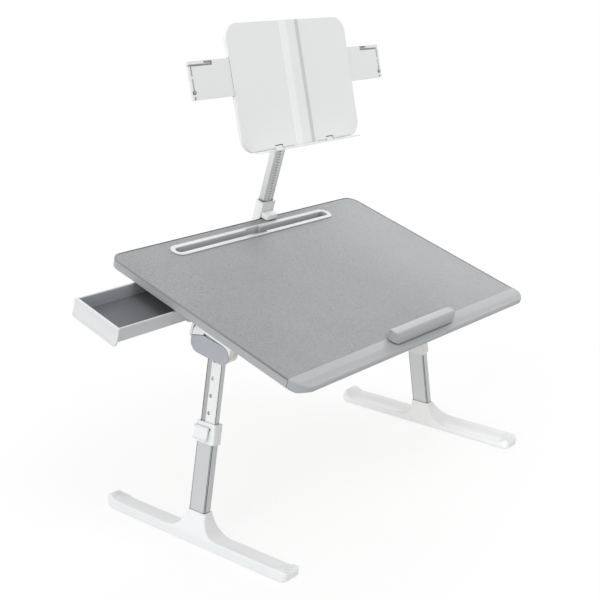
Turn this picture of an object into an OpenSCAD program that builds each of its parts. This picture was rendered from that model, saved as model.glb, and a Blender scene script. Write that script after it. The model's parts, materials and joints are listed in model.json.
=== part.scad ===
// Folding table for a bed or sofa: a leather-topped desktop that tilts, on two folding,
// telescopic legs with T-feet, with a pen tray, an end drawer, a stop bar and a book stand
// that clamps on the rear edge. X runs to the user's right, Y away from the user, Z up.
// The origin is on the floor, under the middle of the whole table's box.

/* [Desktop] */
// Width of the desktop
desk_w = 600; // [580:1:660]
// Depth of the leather top, from its rear edge to the wrist strip
desk_d = 378.4; // [376:0.2:400]
// Thickness of the desktop
desk_t = 14; // [13:0.5:17]
// Radius of the rear corners
desk_corner_r = 22; // [12:1:30]
// Height of the top's rear edge above the floor
desk_rear_h = 413.6; // [405:0.2:425]
// Tilt of the desktop as it stands, in degrees
desk_tilt = 17.84; // [14:0.01:20]
// Thickness of the leather skin
skin_t = 1.2; // [0.8:0.1:2]
// Width of the moulded band round the board
band_w = 3.2; // [2.6:0.1:5]
// Width of the dark piping on the band's upper edge
piping_w = 2.2; // [1.4:0.1:2.4]

/* [Wrist strip] */
// Depth of the wrist strip, front to back
strip_d = 31.6; // [28:0.2:36]
// How far the strip stands above the leather at the seam
strip_rise = 2; // [0.5:0.1:3]
// Thickness of the strip's rounded front edge
strip_nose_t = 9; // [7:0.5:11]
// Radius of the strip's corners, seen from above
strip_corner_r = 30; // [15:1:31]

/* [Pen tray] */
// Length of the tray's rim
tray_len = 392; // [360:1:420]
// Width of the tray's rim
tray_w = 31; // [29:0.5:36]
// Distance from the rear edge to the middle of the tray
tray_from_rear = 32.75; // [30:0.25:38]
// Width of the slot in the tray
tray_slot_w = 14.5; // [11:0.5:17]
// Depth of the slot below the leather
tray_depth = 11; // [8:0.5:11.5]
// How far the rim stands above the leather
tray_rise = 1.7; // [1:0.1:3]
// Wall of the tray
tray_wall = 1.5; // [1:0.1:2]
// Width of the finger notch
notch_w = 34; // [24:1:44]

/* [Stop bar] */
// Length of the bar
stop_len = 158; // [140:1:200]
// Depth of the bar, front to back
stop_d = 24; // [18:1:26]
// Height of the bar
stop_h = 17; // [12:1:24]
// Middle of the bar, to the right of the desktop's middle
stop_x = 4; // [0:1:40]
// Radius of the two pegs under the bar
peg_r = 3; // [2:0.25:4]

/* [Drawer] */
// Length of the drawer box, along the desktop
drawer_len = 176; // [170:1:190]
// Width of the drawer box over its rim
drawer_w = 94; // [80:1:95]
// Height of the drawer box
drawer_h = 23.5; // [20:0.5:30]
// Middle of the drawer, from the rear edge
drawer_from_rear = 106; // [104:0.5:107]
// Wall of the drawer box and of its housing
drawer_wall = 2; // [1.6:0.1:2.4]
// How far the drawer stands open
drawer_open = 108; // [60:1:110]
// How far the drawer front stands past the box on each side
front_margin = 1.5; // [1:0.5:4]

/* [Legs] */
// Distance from the desktop's side to the tilt pivot
pivot_inset = 48.5; // [46:0.5:56]
// Distance of the tilt pivot from the rear edge
pivot_from_rear = 211.8; // [208:0.2:216]
// Depth of the tilt pivot below the leather
pivot_drop = 69; // [68:0.5:72]
// Outward splay of the legs, in degrees
splay = 10.9; // [9:0.1:12]
// Depth of the fold axis below the leather
fold_drop = 32; // [30:0.5:33]
// Distance of the fold axis inboard of the tilt pivot
fold_inboard = 1.5; // [0:0.25:3]
// Radius of the fold pin
fold_pin_r = 3; // [2:0.25:3.5]
// Radius of the tilt pin
tilt_pin_r = 2.5; // [2:0.25:3]
// Width of the lower tube, front to back
tube_w = 33.5; // [32:0.5:35]
// Thickness of the lower tube
tube_t = 13; // [12.4:0.1:13.4]
// Wall of the lower tube
tube_wall = 1.4; // [1.2:0.1:1.6]
// Height of the collar's lower edge, along the leg
collar_from_floor = 151; // [145:1:155]
// Height of the collar
collar_h = 32; // [30:1:36]
// Wall of the collar
collar_wall = 2.6; // [2:0.1:3]
// Distance between two height settings
height_pitch = 26.8; // [24:0.2:27]
// Number of steps between the lowest and the highest setting
height_steps = 3; // [1:1:3]
// Radius of the index pin
index_pin_r = 2; // [1.5:0.1:2.5]

/* [Feet] */
// Length of a foot
foot_len = 377; // [360:1:400]
// Length of a foot behind the leg's middle
foot_rear = 184.5; // [176:0.5:192]
// Width of a foot
foot_w = 38; // [36:1:40]
// Height of the boss that holds the leg
boss_h = 45; // [40:1:50]
// Height of the lip at a foot's rear end
rear_lip_h = 25; // [22:0.5:28]
// Height of the lip at a foot's front end
front_lip_h = 19; // [18:0.5:22]
// Height of the foot's outer edge between the boss and the lips
deck_h = 17.5; // [15:0.5:20]
// Height of the foot's inner edge
inner_h = 10; // [8:0.5:12]
// Depth of the dish in the deck
dish_depth = 3.2; // [2:0.2:4]
// Thickness of the rubber pads
pad_t = 2; // [1.5:0.1:3]

/* [Book stand] */
// Middle of the stand, to the right of the desktop's middle
stand_x = 61.5; // [40:0.5:80]
// Width of the clamp column
column_w = 34; // [32:1:40]
// Depth of the clamp column, front to back
column_d = 18.2; // [18:0.1:22]
// Length of the column below the leather
column_below = 72; // [71:1:90]
// Length of the column above the leather
column_above = 28.6; // [26:0.2:40]
// Width of the post
post_w = 25; // [22:0.5:26]
// Thickness of the post
post_t = 12.6; // [11:0.1:12.8]
// Distance between two rack slots of the post
rack_pitch = 5; // [4:0.5:8]
// Height of the panel's pivot above the leather
panel_pivot_h = 224.2; // [200:0.2:240]
// Lean of the panel behind the square of the leather, in degrees
panel_lean = 29.42; // [15:0.01:40]
// Width of the panel
panel_w = 298; // [280:1:320]
// Height of the panel
panel_h = 205; // [190:1:230]
// Thickness of the panel
panel_t = 7; // [6.6:0.1:9]
// Radius of the panel's corners
panel_corner_r = 27; // [15:1:35]
// Height of the raised rib down the panel's face
rib_h = 4; // [2:0.5:5]
// Height of a wing
wing_h = 59; // [50:1:62]
// How far a wing's end stands from the panel's middle
wing_reach = 240; // [235:1:250]
// Depth of the page ledge
ledge_d = 21; // [16:1:26]
// Length of the page ledge
ledge_len = 256; // [200:1:270]
// Diameter of the clips' wire
wire_dia = 1.8; // [1.4:0.1:2]

/* [Hidden] */
$fn = 64;
// Gap between two pieces that move past each other
gap = 0.3;
// Radial clearance of a pin in its bore
pin_play = 0.05;
// Overlap of a cut past the face that it opens
cut = 1;
// Length of a cut or prism that reaches past the piece it shapes
far = 100;

// Places on the leg: the pivot in the table's own frame, and the foot of the leg's middle
pivot_x = desk_w / 2 - pivot_inset;
pivot_y = -pivot_from_rear * cos(desk_tilt) + pivot_drop * sin(desk_tilt);
pivot_z = desk_rear_h - pivot_from_rear * sin(desk_tilt) - pivot_drop * cos(desk_tilt);
leg_len = pivot_z / cos(splay);
foot_x = pivot_x + pivot_z * tan(splay);

// Hinge housing: an oval round two circles, seen from the side
fold_x = pivot_x - fold_inboard;
oval_rear = [pivot_from_rear - 30.6, 4.8 - pivot_drop];
oval_front = [pivot_from_rear + 17.4, 10.1 - pivot_drop];
clip_rear_r = 16.4;
clip_front_r = 15.2;
housing_inset = 1.5;
housing_wall = 2;
cheek_t = 2;
housing_rear = oval_rear[0] - clip_rear_r + housing_inset;
housing_front = oval_front[0] + clip_front_r - housing_inset;
// Line that parts the cover from the clip at the rear, as [distance from the rear, height]
cap_line = [[pivot_from_rear - 24.3, 22 - pivot_drop], [pivot_from_rear - 57.8, 5.3 - pivot_drop]];
cover_rear = housing_rear - 0.5;
cover_front = oval_front[0] + clip_front_r;
cover_rear_r = 21.3;
cover_front_r = 12;
cover_top = 39 - pivot_drop;
cover_low = 25.8 - pivot_drop;
cover_gap = 0.5;
head_t = 10.8;
head_r = 15;
cavity_in = pivot_x - head_t / 2 - gap;
cavity_out = pivot_x + head_t / 2 + 3.3;
clip_in = cavity_out + cheek_t + gap;
clip_t = 2.5;
stem_r = 2;
stem_rear = oval_rear;
stem_front = oval_front + [5, 3];
pawl_w = 13;
pawl_h = 3.8;
tooth_step = 6;
tooth_d = 1.1;
fold_barrel_r = 6;
rear_ear_t = 4.6;
front_ear_t = 3.5;
ear_gap = 1;
ear_span = [oval_rear[0] - clip_rear_r - ear_gap, cover_front + ear_gap];
flange_t = 2.5;
flange_w = 66;

// Tubes
upper_w = tube_w - 2 * tube_wall - 2 * gap;
upper_t = tube_t - 2 * tube_wall - 2 * gap;
upper_wall = 1.2;
upper_r = 1.5;
tube_engaged = 50;
tube_top = collar_from_floor + collar_h - 3;
index_l = collar_from_floor + 19;
hole_r = index_pin_r + 1;
groove_w = 1.6;
groove_d = 0.8;
strip_w = 19.6;
strip_y = -4.5;
index_strip_t = 0.5;
head_top = 4;
height_travel = height_pitch * height_steps;

// Collar and lever, measured outward from the leg's middle plane and up along the leg
collar_w = tube_w + 2 * collar_wall;
collar_t = tube_t + 2 * collar_wall;
lever_axis_out = collar_t / 2 + 2.9;
lever_axis_l = collar_from_floor + 24;
lever_w = 27;
lever_y = 3.5;
lever_len = 20;
lever_t = 2.4;
lever_lift = 8;
lug_t = 1.7;
lever_pin_r = 1;
pin_head_r = 2.8;

// Feet
foot_bottom = pad_t / 2;
rim_w = 3.2;
deck_run = foot_w - 2 * rim_w;
deck_slope = atan((deck_h - inner_h) / deck_run);
dish_half = deck_run / cos(deck_slope) / 2;
dish_r = (dish_half * dish_half + dish_depth * dish_depth) / (2 * dish_depth);
dish_up = dish_r - dish_depth;
lip_fillet_r = 25;
boss_half = tube_w / 2 + 1.65;
boss_rear_r = 26;
boss_front_r = 38;
foot_socket_l = 10;
end_r = 12;
nose_h = 12.5;
nose_run = 9.5;

// Drawer
drawer_top = desk_t + 2.5;
front_inset = 2;
drawer_back = -(desk_w / 2 + drawer_open - front_inset - drawer_len);
drawer_more = 18;
drawer_mouth = -(desk_w / 2 - 34);
front_t = 3;
front_lip = 0.7;
front_h = drawer_h + 7;
run_gap = 0.6;
housing_w = drawer_w + 2 * run_gap + 2 * drawer_wall;
housing_len = drawer_back + drawer_open + 4 - drawer_mouth;
rim_h = 5;
rim_t = 0.8;

// Book stand: post axis behind the rear edge, and the panel's place on its pivot
column_gap = 0.8;
column_wall = 1.5;
post_back = column_gap + column_d - column_wall - gap;
post_axis = post_back - post_t / 2;
pivot_up = 83.7;
pivot_back = panel_t + 7;
post_travel = 77.7;
post_engaged = 20;
shell_t = 1.2;
wing_t = panel_t - 2 * shell_t - 2 * gap - 0.2;
wing_s = 93;
wing_inner = 100;
wing_travel = 80;
clip_a = wing_reach - 6;
clip_s = wing_s + wing_h - 6.4;
clip_t_mid = shell_t + gap + 1.1;
wire_r = wire_dia / 2;
bend_r = 2.1;
ledge_axis = [3.2, 3.2];
tab_w = 18;
tab_a = 65.5;
ledge_t = 2.2;
jaw_travel = 28;
jaw_pad_t = 1;

// The whole table is moved so that its box stands over the origin
low_x = -(desk_w / 2 + drawer_open - front_inset + front_t + front_lip);
high_x = foot_x + foot_w / 2;
strip_end = desk_d + strip_d;
nose_r = strip_nose_t / 2;
nose_drop = 0.5 + nose_r;
low_y = -(strip_end - nose_r) * cos(desk_tilt) + nose_drop * sin(desk_tilt) - nose_r;
high_y = (column_gap + column_d) * cos(desk_tilt) + column_below * sin(desk_tilt);
shift = [-(low_x + high_x) / 2, -(low_y + high_y) / 2, 0];

// Frames

// Moves the table's own frame over the origin
module on_floor() {
    translate(shift) children();
}

// The desktop's frame: X as the table's, Y up the slope from the rear edge, Z off the leather
module on_desk() {
    on_floor() translate([0, 0, desk_rear_h]) rotate([desk_tilt, 0, 0]) children();
}

// The frame of one leg: Z up the leg from the floor, X inward, Y to the rear
module on_leg() {
    on_floor() translate([-foot_x, pivot_y, 0]) rotate([0, splay, 0]) children();
}

// The panel's frame: X along the panel, Y behind its face, Z up from its lower edge
module on_panel() {
    on_desk() translate([stand_x, post_axis, panel_pivot_h]) rotate([-panel_lean, 0, 0])
        translate([0, -pivot_back, -pivot_up]) children();
}

// Draws the left-hand piece, or its mirror image on the right
module sided(side) {
    if (side == "left") children();
    else translate([2 * shift[0], 0, 0]) mirror([1, 0, 0]) children();
}

// Shapes

// Extrudes a side view, drawn as Y and Z, along X from x0 to x1
module across(x0, x1) {
    translate([x0, 0, 0]) rotate([90, 0, 90]) linear_extrude(x1 - x0) children();
}

// Extrudes an end view, drawn as X and Z, along Y from y0 to y1
module along(y0, y1) {
    translate([0, y1, 0]) rotate([90, 0, 0]) linear_extrude(y1 - y0) children();
}

// A box between two opposite corners
module box(a, b) {
    translate(a) cube(b - a);
}

// A rectangle with round corners, centred
module round_rect(w, h, r) {
    square([w - 2 * r, h], center = true);
    square([w, h - 2 * r], center = true);
    for (i = [-1, 1], j = [-1, 1]) translate([i * (w / 2 - r), j * (h / 2 - r)]) circle(r);
}

// A slot shape with half-round ends, centred
module stadium(l, w) {
    square([l - w, w], center = true);
    for (i = [-1, 1]) translate([i * (l - w) / 2, 0]) circle(w / 2);
}

// A cylinder from one point along X
module rod_x(p, l, r) {
    translate(p) rotate([0, 90, 0]) cylinder(h = l, r = r);
}

// A cylinder from one point along Y
module rod_y(p, l, r) {
    translate(p) rotate([-90, 0, 0]) cylinder(h = l, r = r);
}

// Two circles in the side view and the belt round them, as [distance from the rear, height]
module oval(a, ra, b, rb) {
    step = b - a;
    span = norm(step);
    u = step / span;
    n = [-u[1], u[0]];
    c = (ra - rb) / span;
    s = sqrt(1 - c * c);
    up = u * c + n * s;
    down = u * c - n * s;
    mirror([1, 0]) {
        translate(a) circle(ra);
        translate(b) circle(rb);
        polygon([a + ra * up, b + rb * up, b + rb * down, a + ra * down]);
    }
}

// The hinge's oval, grown by a margin
module hinge_oval(grow) {
    oval(oval_rear, clip_rear_r + grow, oval_front, clip_front_r + grow);
}

// The desktop seen from above, drawn in by an inset at the sides and the rear
module desk_outline(inset) {
    w = desk_w - 2 * inset;
    r = desk_corner_r - inset;
    translate([-w / 2, -desk_d]) square([w, desk_d - inset - r]);
    translate([r - w / 2, -desk_d]) square([w - 2 * r, desk_d - inset]);
    for (i = [-1, 1]) translate([i * (w / 2 - r), -inset - r]) circle(r);
}

// Sweeps a section, drawn as distance in from the edge and height, round the desktop's edge
module round_edge() {
    r = desk_corner_r;
    for (i = [0, 1]) mirror([i, 0, 0]) {
        translate([desk_w / 2, -desk_d, 0]) rotate([90, 0, 180])
            linear_extrude(desk_d - r) children();
        translate([desk_w / 2 - r, -r, 0]) rotate_extrude(angle = 90)
            translate([r, 0]) mirror([1, 0]) children();
        translate([0, 0, 0]) rotate([90, 0, -90]) linear_extrude(desk_w / 2 - r)
            children();
    }
}

// Desktop

// The tray's body below the rim, grown by a margin
module tray_well(grow) {
    stadium(tray_len - tray_w + tray_slot_w + 2 * grow, tray_slot_w + 2 * grow);
    square([notch_w + 2 * grow, tray_slot_w + 8 + 2 * grow], center = true);
}

module desk_board() {
    color("#c9b79a") on_desk() difference() {
        translate([0, 0, -desk_t]) linear_extrude(desk_t - skin_t) desk_outline(band_w);
        translate([0, -tray_from_rear, -desk_t - cut]) linear_extrude(desk_t + 2 * cut)
            tray_well(tray_wall);
    }
}

module top_skin() {
    color("#a9abad") on_desk() difference() {
        translate([0, 0, -skin_t]) linear_extrude(skin_t) desk_outline(piping_w);
        translate([0, -tray_from_rear, -desk_t]) linear_extrude(desk_t + cut)
            tray_well(tray_wall);
    }
}

// A flat-sided moulding with a rounded lower edge
module edge_band() {
    color("#b4b6b8") on_desk() round_edge() {
        difference() {
            translate([0, -desk_t]) square([band_w, desk_t - skin_t]);
            difference() {
                translate([0, -desk_t]) square(band_w / 2);
                translate([band_w / 2, band_w / 2 - desk_t]) circle(band_w / 2);
            }
        }
    }
}

module edge_piping() {
    color("#66686b") on_desk() round_edge() {
        translate([piping_w / 2, -skin_t]) square([piping_w / 2, skin_t]);
        translate([0, -skin_t]) square([piping_w / 2, skin_t / 2]);
        intersection() {
            translate([piping_w / 2, -skin_t / 2]) circle(skin_t / 2);
            translate([0, -skin_t]) square([piping_w / 2, skin_t]);
        }
    }
}

// A sloped moulding with a round nose, cut to round corners
module wrist_strip() {
    flat = strip_d * 0.5;
    nose = strip_end - nose_r;
    color("#c4c6c8") on_desk() difference() {
        intersection() {
            across(-desk_w / 2, desk_w / 2) mirror([1, 0]) {
                polygon([[desk_d, -desk_t], [desk_d, strip_rise], [desk_d + flat, strip_rise],
                    [nose, nose_r - nose_drop], [nose, -nose_r - nose_drop],
                    [desk_d + flat, -desk_t]]);
                translate([nose, -nose_drop]) circle(nose_r);
            }
            translate([0, -strip_end, -desk_t - cut]) linear_extrude(desk_t + 2 * strip_rise)
                strip_outline();
        }
        for (x = stop_pegs) translate([x, -peg_from_rear, strip_rise - peg_len - gap])
            cylinder(h = peg_len + 2, r = peg_r + gap);
    }
}

module strip_outline() {
    r = strip_corner_r;
    translate([-desk_w / 2, r]) square([desk_w, strip_d - r]);
    translate([r - desk_w / 2, 0]) square([desk_w - 2 * r, strip_d]);
    for (i = [-1, 1]) translate([i * (desk_w / 2 - r), r]) circle(r);
}

// A stadium-shaped tray let into the top, with a finger notch across its middle
module pen_tray() {
    floor_h = tray_depth + tray_wall;
    color("#e2e3e3") on_desk() translate([0, -tray_from_rear, 0]) difference() {
        union() {
            linear_extrude(tray_rise) stadium(tray_len, tray_w);
            translate([0, 0, -floor_h]) linear_extrude(floor_h + tray_rise / 2)
                tray_well(tray_wall);
        }
        translate([0, 0, -tray_depth]) linear_extrude(tray_depth + tray_rise + cut)
            tray_well(0);
    }
}

// Stop bar

stop_pegs = [stop_x - stop_len * 0.35, stop_x + stop_len * 0.35];
peg_len = 8;
peg_from_rear = desk_d + strip_d * 0.3;
stop_base = strip_rise + 1.3;

// A soft-edged bar, round at both ends, on two pegs
module stop_bar() {
    r = 8;
    color("#c9cbcd") on_desk() translate([0, -peg_from_rear, 0]) {
        intersection() {
            across(stop_x - stop_len / 2, stop_x + stop_len / 2) {
                translate([-stop_d / 2, stop_base]) square([stop_d, stop_h - r]);
                translate([r - stop_d / 2, stop_base]) square([stop_d - 2 * r, stop_h]);
                for (i = [-1, 1]) translate([i * (stop_d / 2 - r), stop_base + stop_h - r])
                    circle(r);
            }
            translate([stop_x, 0, 0]) linear_extrude(stop_base + stop_h + cut)
                round_rect(stop_len, stop_d, stop_d * 0.4);
        }
        for (x = stop_pegs) translate([x, 0, strip_rise - peg_len])
            cylinder(h = peg_len + stop_base - strip_rise + cut, r = peg_r);
    }
}

// A soft pad between the bar and the strip, with holes for the pegs
module stop_pad() {
    color("#8b8d90") on_desk() translate([0, -peg_from_rear, strip_rise + gap]) difference() {
        translate([stop_x, 0, 0]) linear_extrude(stop_base - strip_rise - gap)
            round_rect(stop_len - 8, strip_d * 0.3, strip_d * 0.1);
        for (x = stop_pegs) translate([x, 0, -cut]) cylinder(h = 3 * cut, r = peg_r);
    }
}

// Drawer

drawer_mid = -drawer_from_rear;
drawer_floor = -drawer_top - drawer_h;
housing_floor = drawer_floor - gap - drawer_wall;
lug_h = drawer_wall;
lug_w = 6;
tab_x = [drawer_mouth + housing_len * 0.32, drawer_mouth + housing_len * 0.88];
tab_out = 5;

// Runner case under the desktop, open at the left end, with a slot that stops the drawer
module drawer_housing() {
    low = [drawer_mouth, drawer_mid - housing_w / 2, housing_floor];
    high = [drawer_mouth + housing_len, drawer_mid + housing_w / 2, -desk_t];
    w = drawer_wall;
    color("#d5d6d6") on_desk() difference() {
        union() {
            box(low, high);
            for (x = tab_x, i = [-1, 1])
                translate([x, drawer_mid + i * housing_w / 2, -desk_t - w])
                    cylinder(h = w, r = tab_out);
        }
        box(low + [-cut, w, w], high + [-w, -w, cut]);
        box([drawer_back - 6 - drawer_more - gap, drawer_mid - lug_w / 2 - gap, housing_floor - cut],
            [drawer_mouth + housing_len - 2 * w, drawer_mid + lug_w / 2 + gap,
            housing_floor + w + cut]);
        for (x = tab_x, i = [-1, 1])
            translate([x, drawer_mid + i * (housing_w / 2 + 2.4), -desk_t - 2 * w])
                cylinder(h = 3 * w, r = 1.2);
    }
}

// Screws through the case's tabs, into the board
module housing_screws() {
    color("#77797b") on_desk() for (x = tab_x, i = [-1, 1])
        translate([x, drawer_mid + i * (housing_w / 2 + 2.4), -desk_t - drawer_wall - 1])
            cylinder(h = 1, r = 2.2);
}

// An open box with a rolled rim and a lug under its rear end
module drawer_box() {
    w = drawer_wall;
    inner_w = drawer_w / 2 - rim_t;
    low = [drawer_back - drawer_len, drawer_mid - inner_w, drawer_floor];
    high = [drawer_back, drawer_mid + inner_w, -drawer_top];
    color("#e8e9e9") on_desk() difference() {
        union() {
            box(low, high);
            box([low[0] + 0.5, low[1] - rim_t, high[2] - rim_h], high + [0, rim_t, 0]);
            box([drawer_back - 6, drawer_mid - lug_w / 2, drawer_floor - lug_h],
                [drawer_back - 2, drawer_mid + lug_w / 2, drawer_floor + w]);
        }
        box(low + [w, w, w], high + [-w, -w, cut]);
    }
}

// A dark liner on the box's floor and walls
module drawer_liner() {
    w = drawer_wall;
    t = 0.8;
    inner_w = drawer_w / 2 - rim_t - w;
    low = [drawer_back - drawer_len + w, drawer_mid - inner_w, drawer_floor + w];
    high = [drawer_back - w, drawer_mid + inner_w, -drawer_top - 2];
    color("#6a6c6e") on_desk() difference() {
        box(low, high);
        box(low + [t, t, t], high + [-t, -t, cut]);
    }
}

// Drawer front: round lower corners, a hollowed face and a finger lip along the foot
module drawer_front() {
    x1 = drawer_back - drawer_len;
    half = drawer_w / 2 + front_margin;
    top = -desk_t - 2;
    hollow_r = 65;
    hollow_d = 1;
    color("#ebecec") on_desk() intersection() {
        across(x1 - front_t - front_lip, x1) front_outline(half, top);
        along(drawer_mid - half - cut, drawer_mid + half + cut) difference() {
            translate([x1 - front_t - front_lip, top - front_h])
                square([front_t + front_lip, front_h]);
            translate([x1 - front_t - front_lip - cut, top - front_h + 4])
                square([front_lip + cut, front_h]);
            translate([x1 - front_t - hollow_r + hollow_d, top - 13])
                circle(hollow_r, $fn = 360);
        }
    }
}

// The drawer front seen from its end of the table
module front_outline(half, top) {
    corner = 6;
    translate([drawer_mid, top - front_h / 2]) {
        round_rect(2 * half, front_h, corner);
        translate([-half, 0]) square([2 * half, front_h / 2]);
    }
}

// Legs: every piece is drawn for the left leg

bracket_screws_at = [[pivot_x - 24, ear_span[0] + 16], [pivot_x - 24, ear_span[1] - 16],
    [pivot_x + 26, ear_span[0] + 16], [pivot_x + 26, ear_span[1] - 16]];

// Flange under the desktop with two ears for the fold pin, a long one at the rear
module fold_bracket(side) {
    low = -ear_span[1] - front_ear_t;
    high = -ear_span[0] + rear_ear_t;
    color("#e9eaea") sided(side) on_desk() difference() {
        union() {
            translate([-pivot_x - 1, (low + high) / 2, -desk_t - flange_t])
                linear_extrude(flange_t) round_rect(flange_w, high - low, 6);
            along(-ear_span[0], high) ear(clip_in + 0.5, pivot_x - 8.5, pivot_drop - 3, 6);
            along(low, -ear_span[1]) ear(fold_x + 8, fold_x - 8, fold_drop + 7.5, 7);
        }
        rod_y([-fold_x, low - cut, -fold_drop], high - low + 2 * cut, fold_pin_r);
        for (p = bracket_screws_at) translate([-p[0], -p[1], -desk_t - flange_t - cut])
            cylinder(h = flange_t + cut + 0.1, r = 1.6);
    }
}

// An ear from its end, with round lower corners
module ear(outer, inner, drop, r) {
    translate([-outer, r - drop]) square([outer - inner, drop - desk_t - r]);
    translate([r - outer, -drop]) square([outer - inner - 2 * r, drop - desk_t]);
    for (x = [r - outer, -inner - r]) translate([x, r - drop]) circle(r);
}

// Screw heads of both brackets
module bracket_screws() {
    color("#77797b") for (side = ["left", "right"]) sided(side) on_desk()
        for (p = bracket_screws_at)
            translate([-p[0], -p[1], -desk_t - flange_t - 1.4]) cylinder(h = 1.4, r = 3.2);
}

// Steel pin that the leg folds on, with a head at each end
module fold_pin(side) {
    low = -ear_span[1] - front_ear_t;
    long = ear_span[1] - ear_span[0] + front_ear_t + rear_ear_t;
    color("#8f9295") sided(side) on_desk() {
        rod_y([-fold_x, low, -fold_drop], long, fold_pin_r);
        rod_y([-fold_x, low - 1.2, -fold_drop], 1.2, fold_pin_r + 1.5);
        rod_y([-fold_x, low + long, -fold_drop], 1.2, fold_pin_r + 1.5);
    }
}

// The space that the leg swings through, seen from the side
module leg_swing() {
    half = head_r + 1;
    p = [pivot_from_rear, -pivot_drop];
    dir = 36;
    long = 60;
    side_pt = p + half * [cos(dir), sin(dir)];
    far_pt = side_pt + long * [sin(dir), -cos(dir)];
    mirror([1, 0]) {
        translate(p) circle(head_r + 1.2);
        polygon([p + [-half, 0], p + [-half, -long], far_pt - [0, long], far_pt, side_pt]);
    }
}

// The clip from the side, grown by a margin: the oval with its rear upper corner cut off
module clip_side(grow) {
    up = [0, grow];
    difference() {
        hinge_oval(grow);
        mirror([1, 0]) polygon([cap_line[0] + up, cap_line[0] + [0, far], cap_line[1] + [0, far],
            cap_line[1] + up]);
    }
}

// The cover from the side: it closes the hinge above the clip, and a slot parts the two
module cover_side() {
    rear_mid = [cover_rear + cover_rear_r, cover_top - cover_rear_r];
    front_mid = [cover_front - cover_front_r, cover_top - cover_front_r];
    low = oval_front[1];
    difference() {
        mirror([1, 0]) {
            translate(rear_mid) circle(cover_rear_r);
            translate(front_mid) circle(cover_front_r);
            translate([rear_mid[0], low]) square([front_mid[0] - rear_mid[0], cover_top - low]);
            translate([cover_rear, low]) square([cover_rear_r, rear_mid[1] - low]);
            translate([front_mid[0], low]) square([cover_front_r, front_mid[1] - low]);
        }
        clip_side(cover_gap);
        mirror([1, 0]) translate([cap_line[0][0], cover_low - far])
            square([oval_front[0] - cap_line[0][0], far]);
    }
}

// Moulded head on the fold pin: two cheeks, a rim that is open where the leg swings,
// a cover, a barrel and a web, a window for the pawl and two guides for the clip's stems
module hinge_housing(side) {
    color("#e6e7e8") sided(side) on_desk() difference() {
        union() {
            across(-cavity_out - cheek_t, -cavity_in + 2.5) hinge_oval(-housing_inset);
            across(-clip_in - clip_t, -fold_x - fold_barrel_r + 2) cover_side();
            along(ear_gap / 2 - ear_span[1], -ear_span[0] - ear_gap / 2)
                translate([-fold_x, -fold_drop]) circle(fold_barrel_r);
            along(-housing_front, -housing_rear)
                translate([-fold_x - fold_barrel_r, -fold_drop - 20])
                square([2 * fold_barrel_r, 20]);
        }
        across(-cavity_out, -cavity_in) {
            hinge_oval(-housing_inset - housing_wall);
            leg_swing();
        }
        rod_y([-fold_x, -ear_span[1], -fold_drop], ear_span[1] - ear_span[0],
            fold_pin_r + pin_play);
        rod_x([-cavity_out - cheek_t - cut, -pivot_from_rear, -pivot_drop],
            cavity_out - cavity_in + cheek_t + 2.5 + 2 * cut, tilt_pin_r);
        for (p = [stem_rear, stem_front])
            rod_x([-cavity_out - cheek_t - cut, -p[0], p[1]], cheek_t + 2 * cut,
                stem_r + pin_play);
        box([-cavity_out - cheek_t - cut, -pivot_from_rear - pawl_w / 2 - gap,
            head_r - pivot_drop],
            [-cavity_out + cut, -pivot_from_rear + pawl_w / 2 + gap,
            head_r - pivot_drop + pawl_h + 2 * gap]);
    }
}

// Steel pin that the leg tilts on
module tilt_pin(side) {
    l = cavity_out + cheek_t - cavity_in + 2.5;
    color("#8f9295") sided(side) on_desk() {
        rod_x([-cavity_out - cheek_t, -pivot_from_rear, -pivot_drop], l, tilt_pin_r);
        rod_x([l - cavity_out - cheek_t, -pivot_from_rear, -pivot_drop], 1.2, 4.5);
    }
}

// Clip that is pulled outward to free the tilt, with its toothed pawl and two stems
module tilt_clip(side) {
    reach = clip_in - (pivot_x + head_t / 2 - 4.2);
    color("#b5b7be") sided(side) on_desk() {
        across(-clip_in - clip_t, -clip_in) clip_side(0);
        for (p = [stem_rear, stem_front])
            rod_x([-clip_in - cut, -p[0], p[1]], reach + cut, stem_r);
        across(-clip_in - cut, reach - clip_in) translate([-pivot_from_rear, -pivot_drop])
            difference() {
                translate([-pawl_w / 2, head_r + gap]) square([pawl_w, pawl_h]);
                for (a = [-2 : 2]) rotate(a * tooth_step)
                    translate([0, head_r - 0.3]) rotate(45) square(tooth_d, center = true);
            }
    }
}

// Leg head: a toothed disc on the tilt pin, with a plug that fills the tube's upper end
module leg_head(side) {
    plug = [upper_t - 2 * upper_wall, upper_w - 2 * upper_wall];
    bottom = leg_len - 45;
    color("#d9dadb") sided(side) difference() {
        union() {
            intersection() {
                on_desk() union() {
                    across(-pivot_x - head_t / 2, 4.5 - pivot_x - head_t / 2)
                        toothed_disc();
                    across(4.4 - pivot_x - head_t / 2, head_t / 2 - pivot_x)
                        translate([-pivot_from_rear, -pivot_drop]) circle(head_r - 1.5);
                }
                on_leg() translate([-30, -30, leg_len - head_top]) cube([60, 60, 60]);
            }
            on_leg() translate([0, 0, bottom]) linear_extrude(leg_len - bottom + 2)
                round_rect(plug[0], plug[1], upper_r / 2);
        }
        on_desk() rod_x([-pivot_x - 20, -pivot_from_rear, -pivot_drop], 40,
            tilt_pin_r + pin_play);
        on_leg() for (i = [1 : height_steps + 1])
            rod_x([-upper_t, 0, index_l + i * height_pitch], upper_t, hole_r);
    }
}

module toothed_disc() {
    translate([-pivot_from_rear, -pivot_drop]) difference() {
        circle(head_r);
        for (a = [-5 : 5]) rotate((a + 0.5) * tooth_step)
            translate([0, head_r]) rotate(45) square(tooth_d * 1.4, center = true);
    }
}

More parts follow.
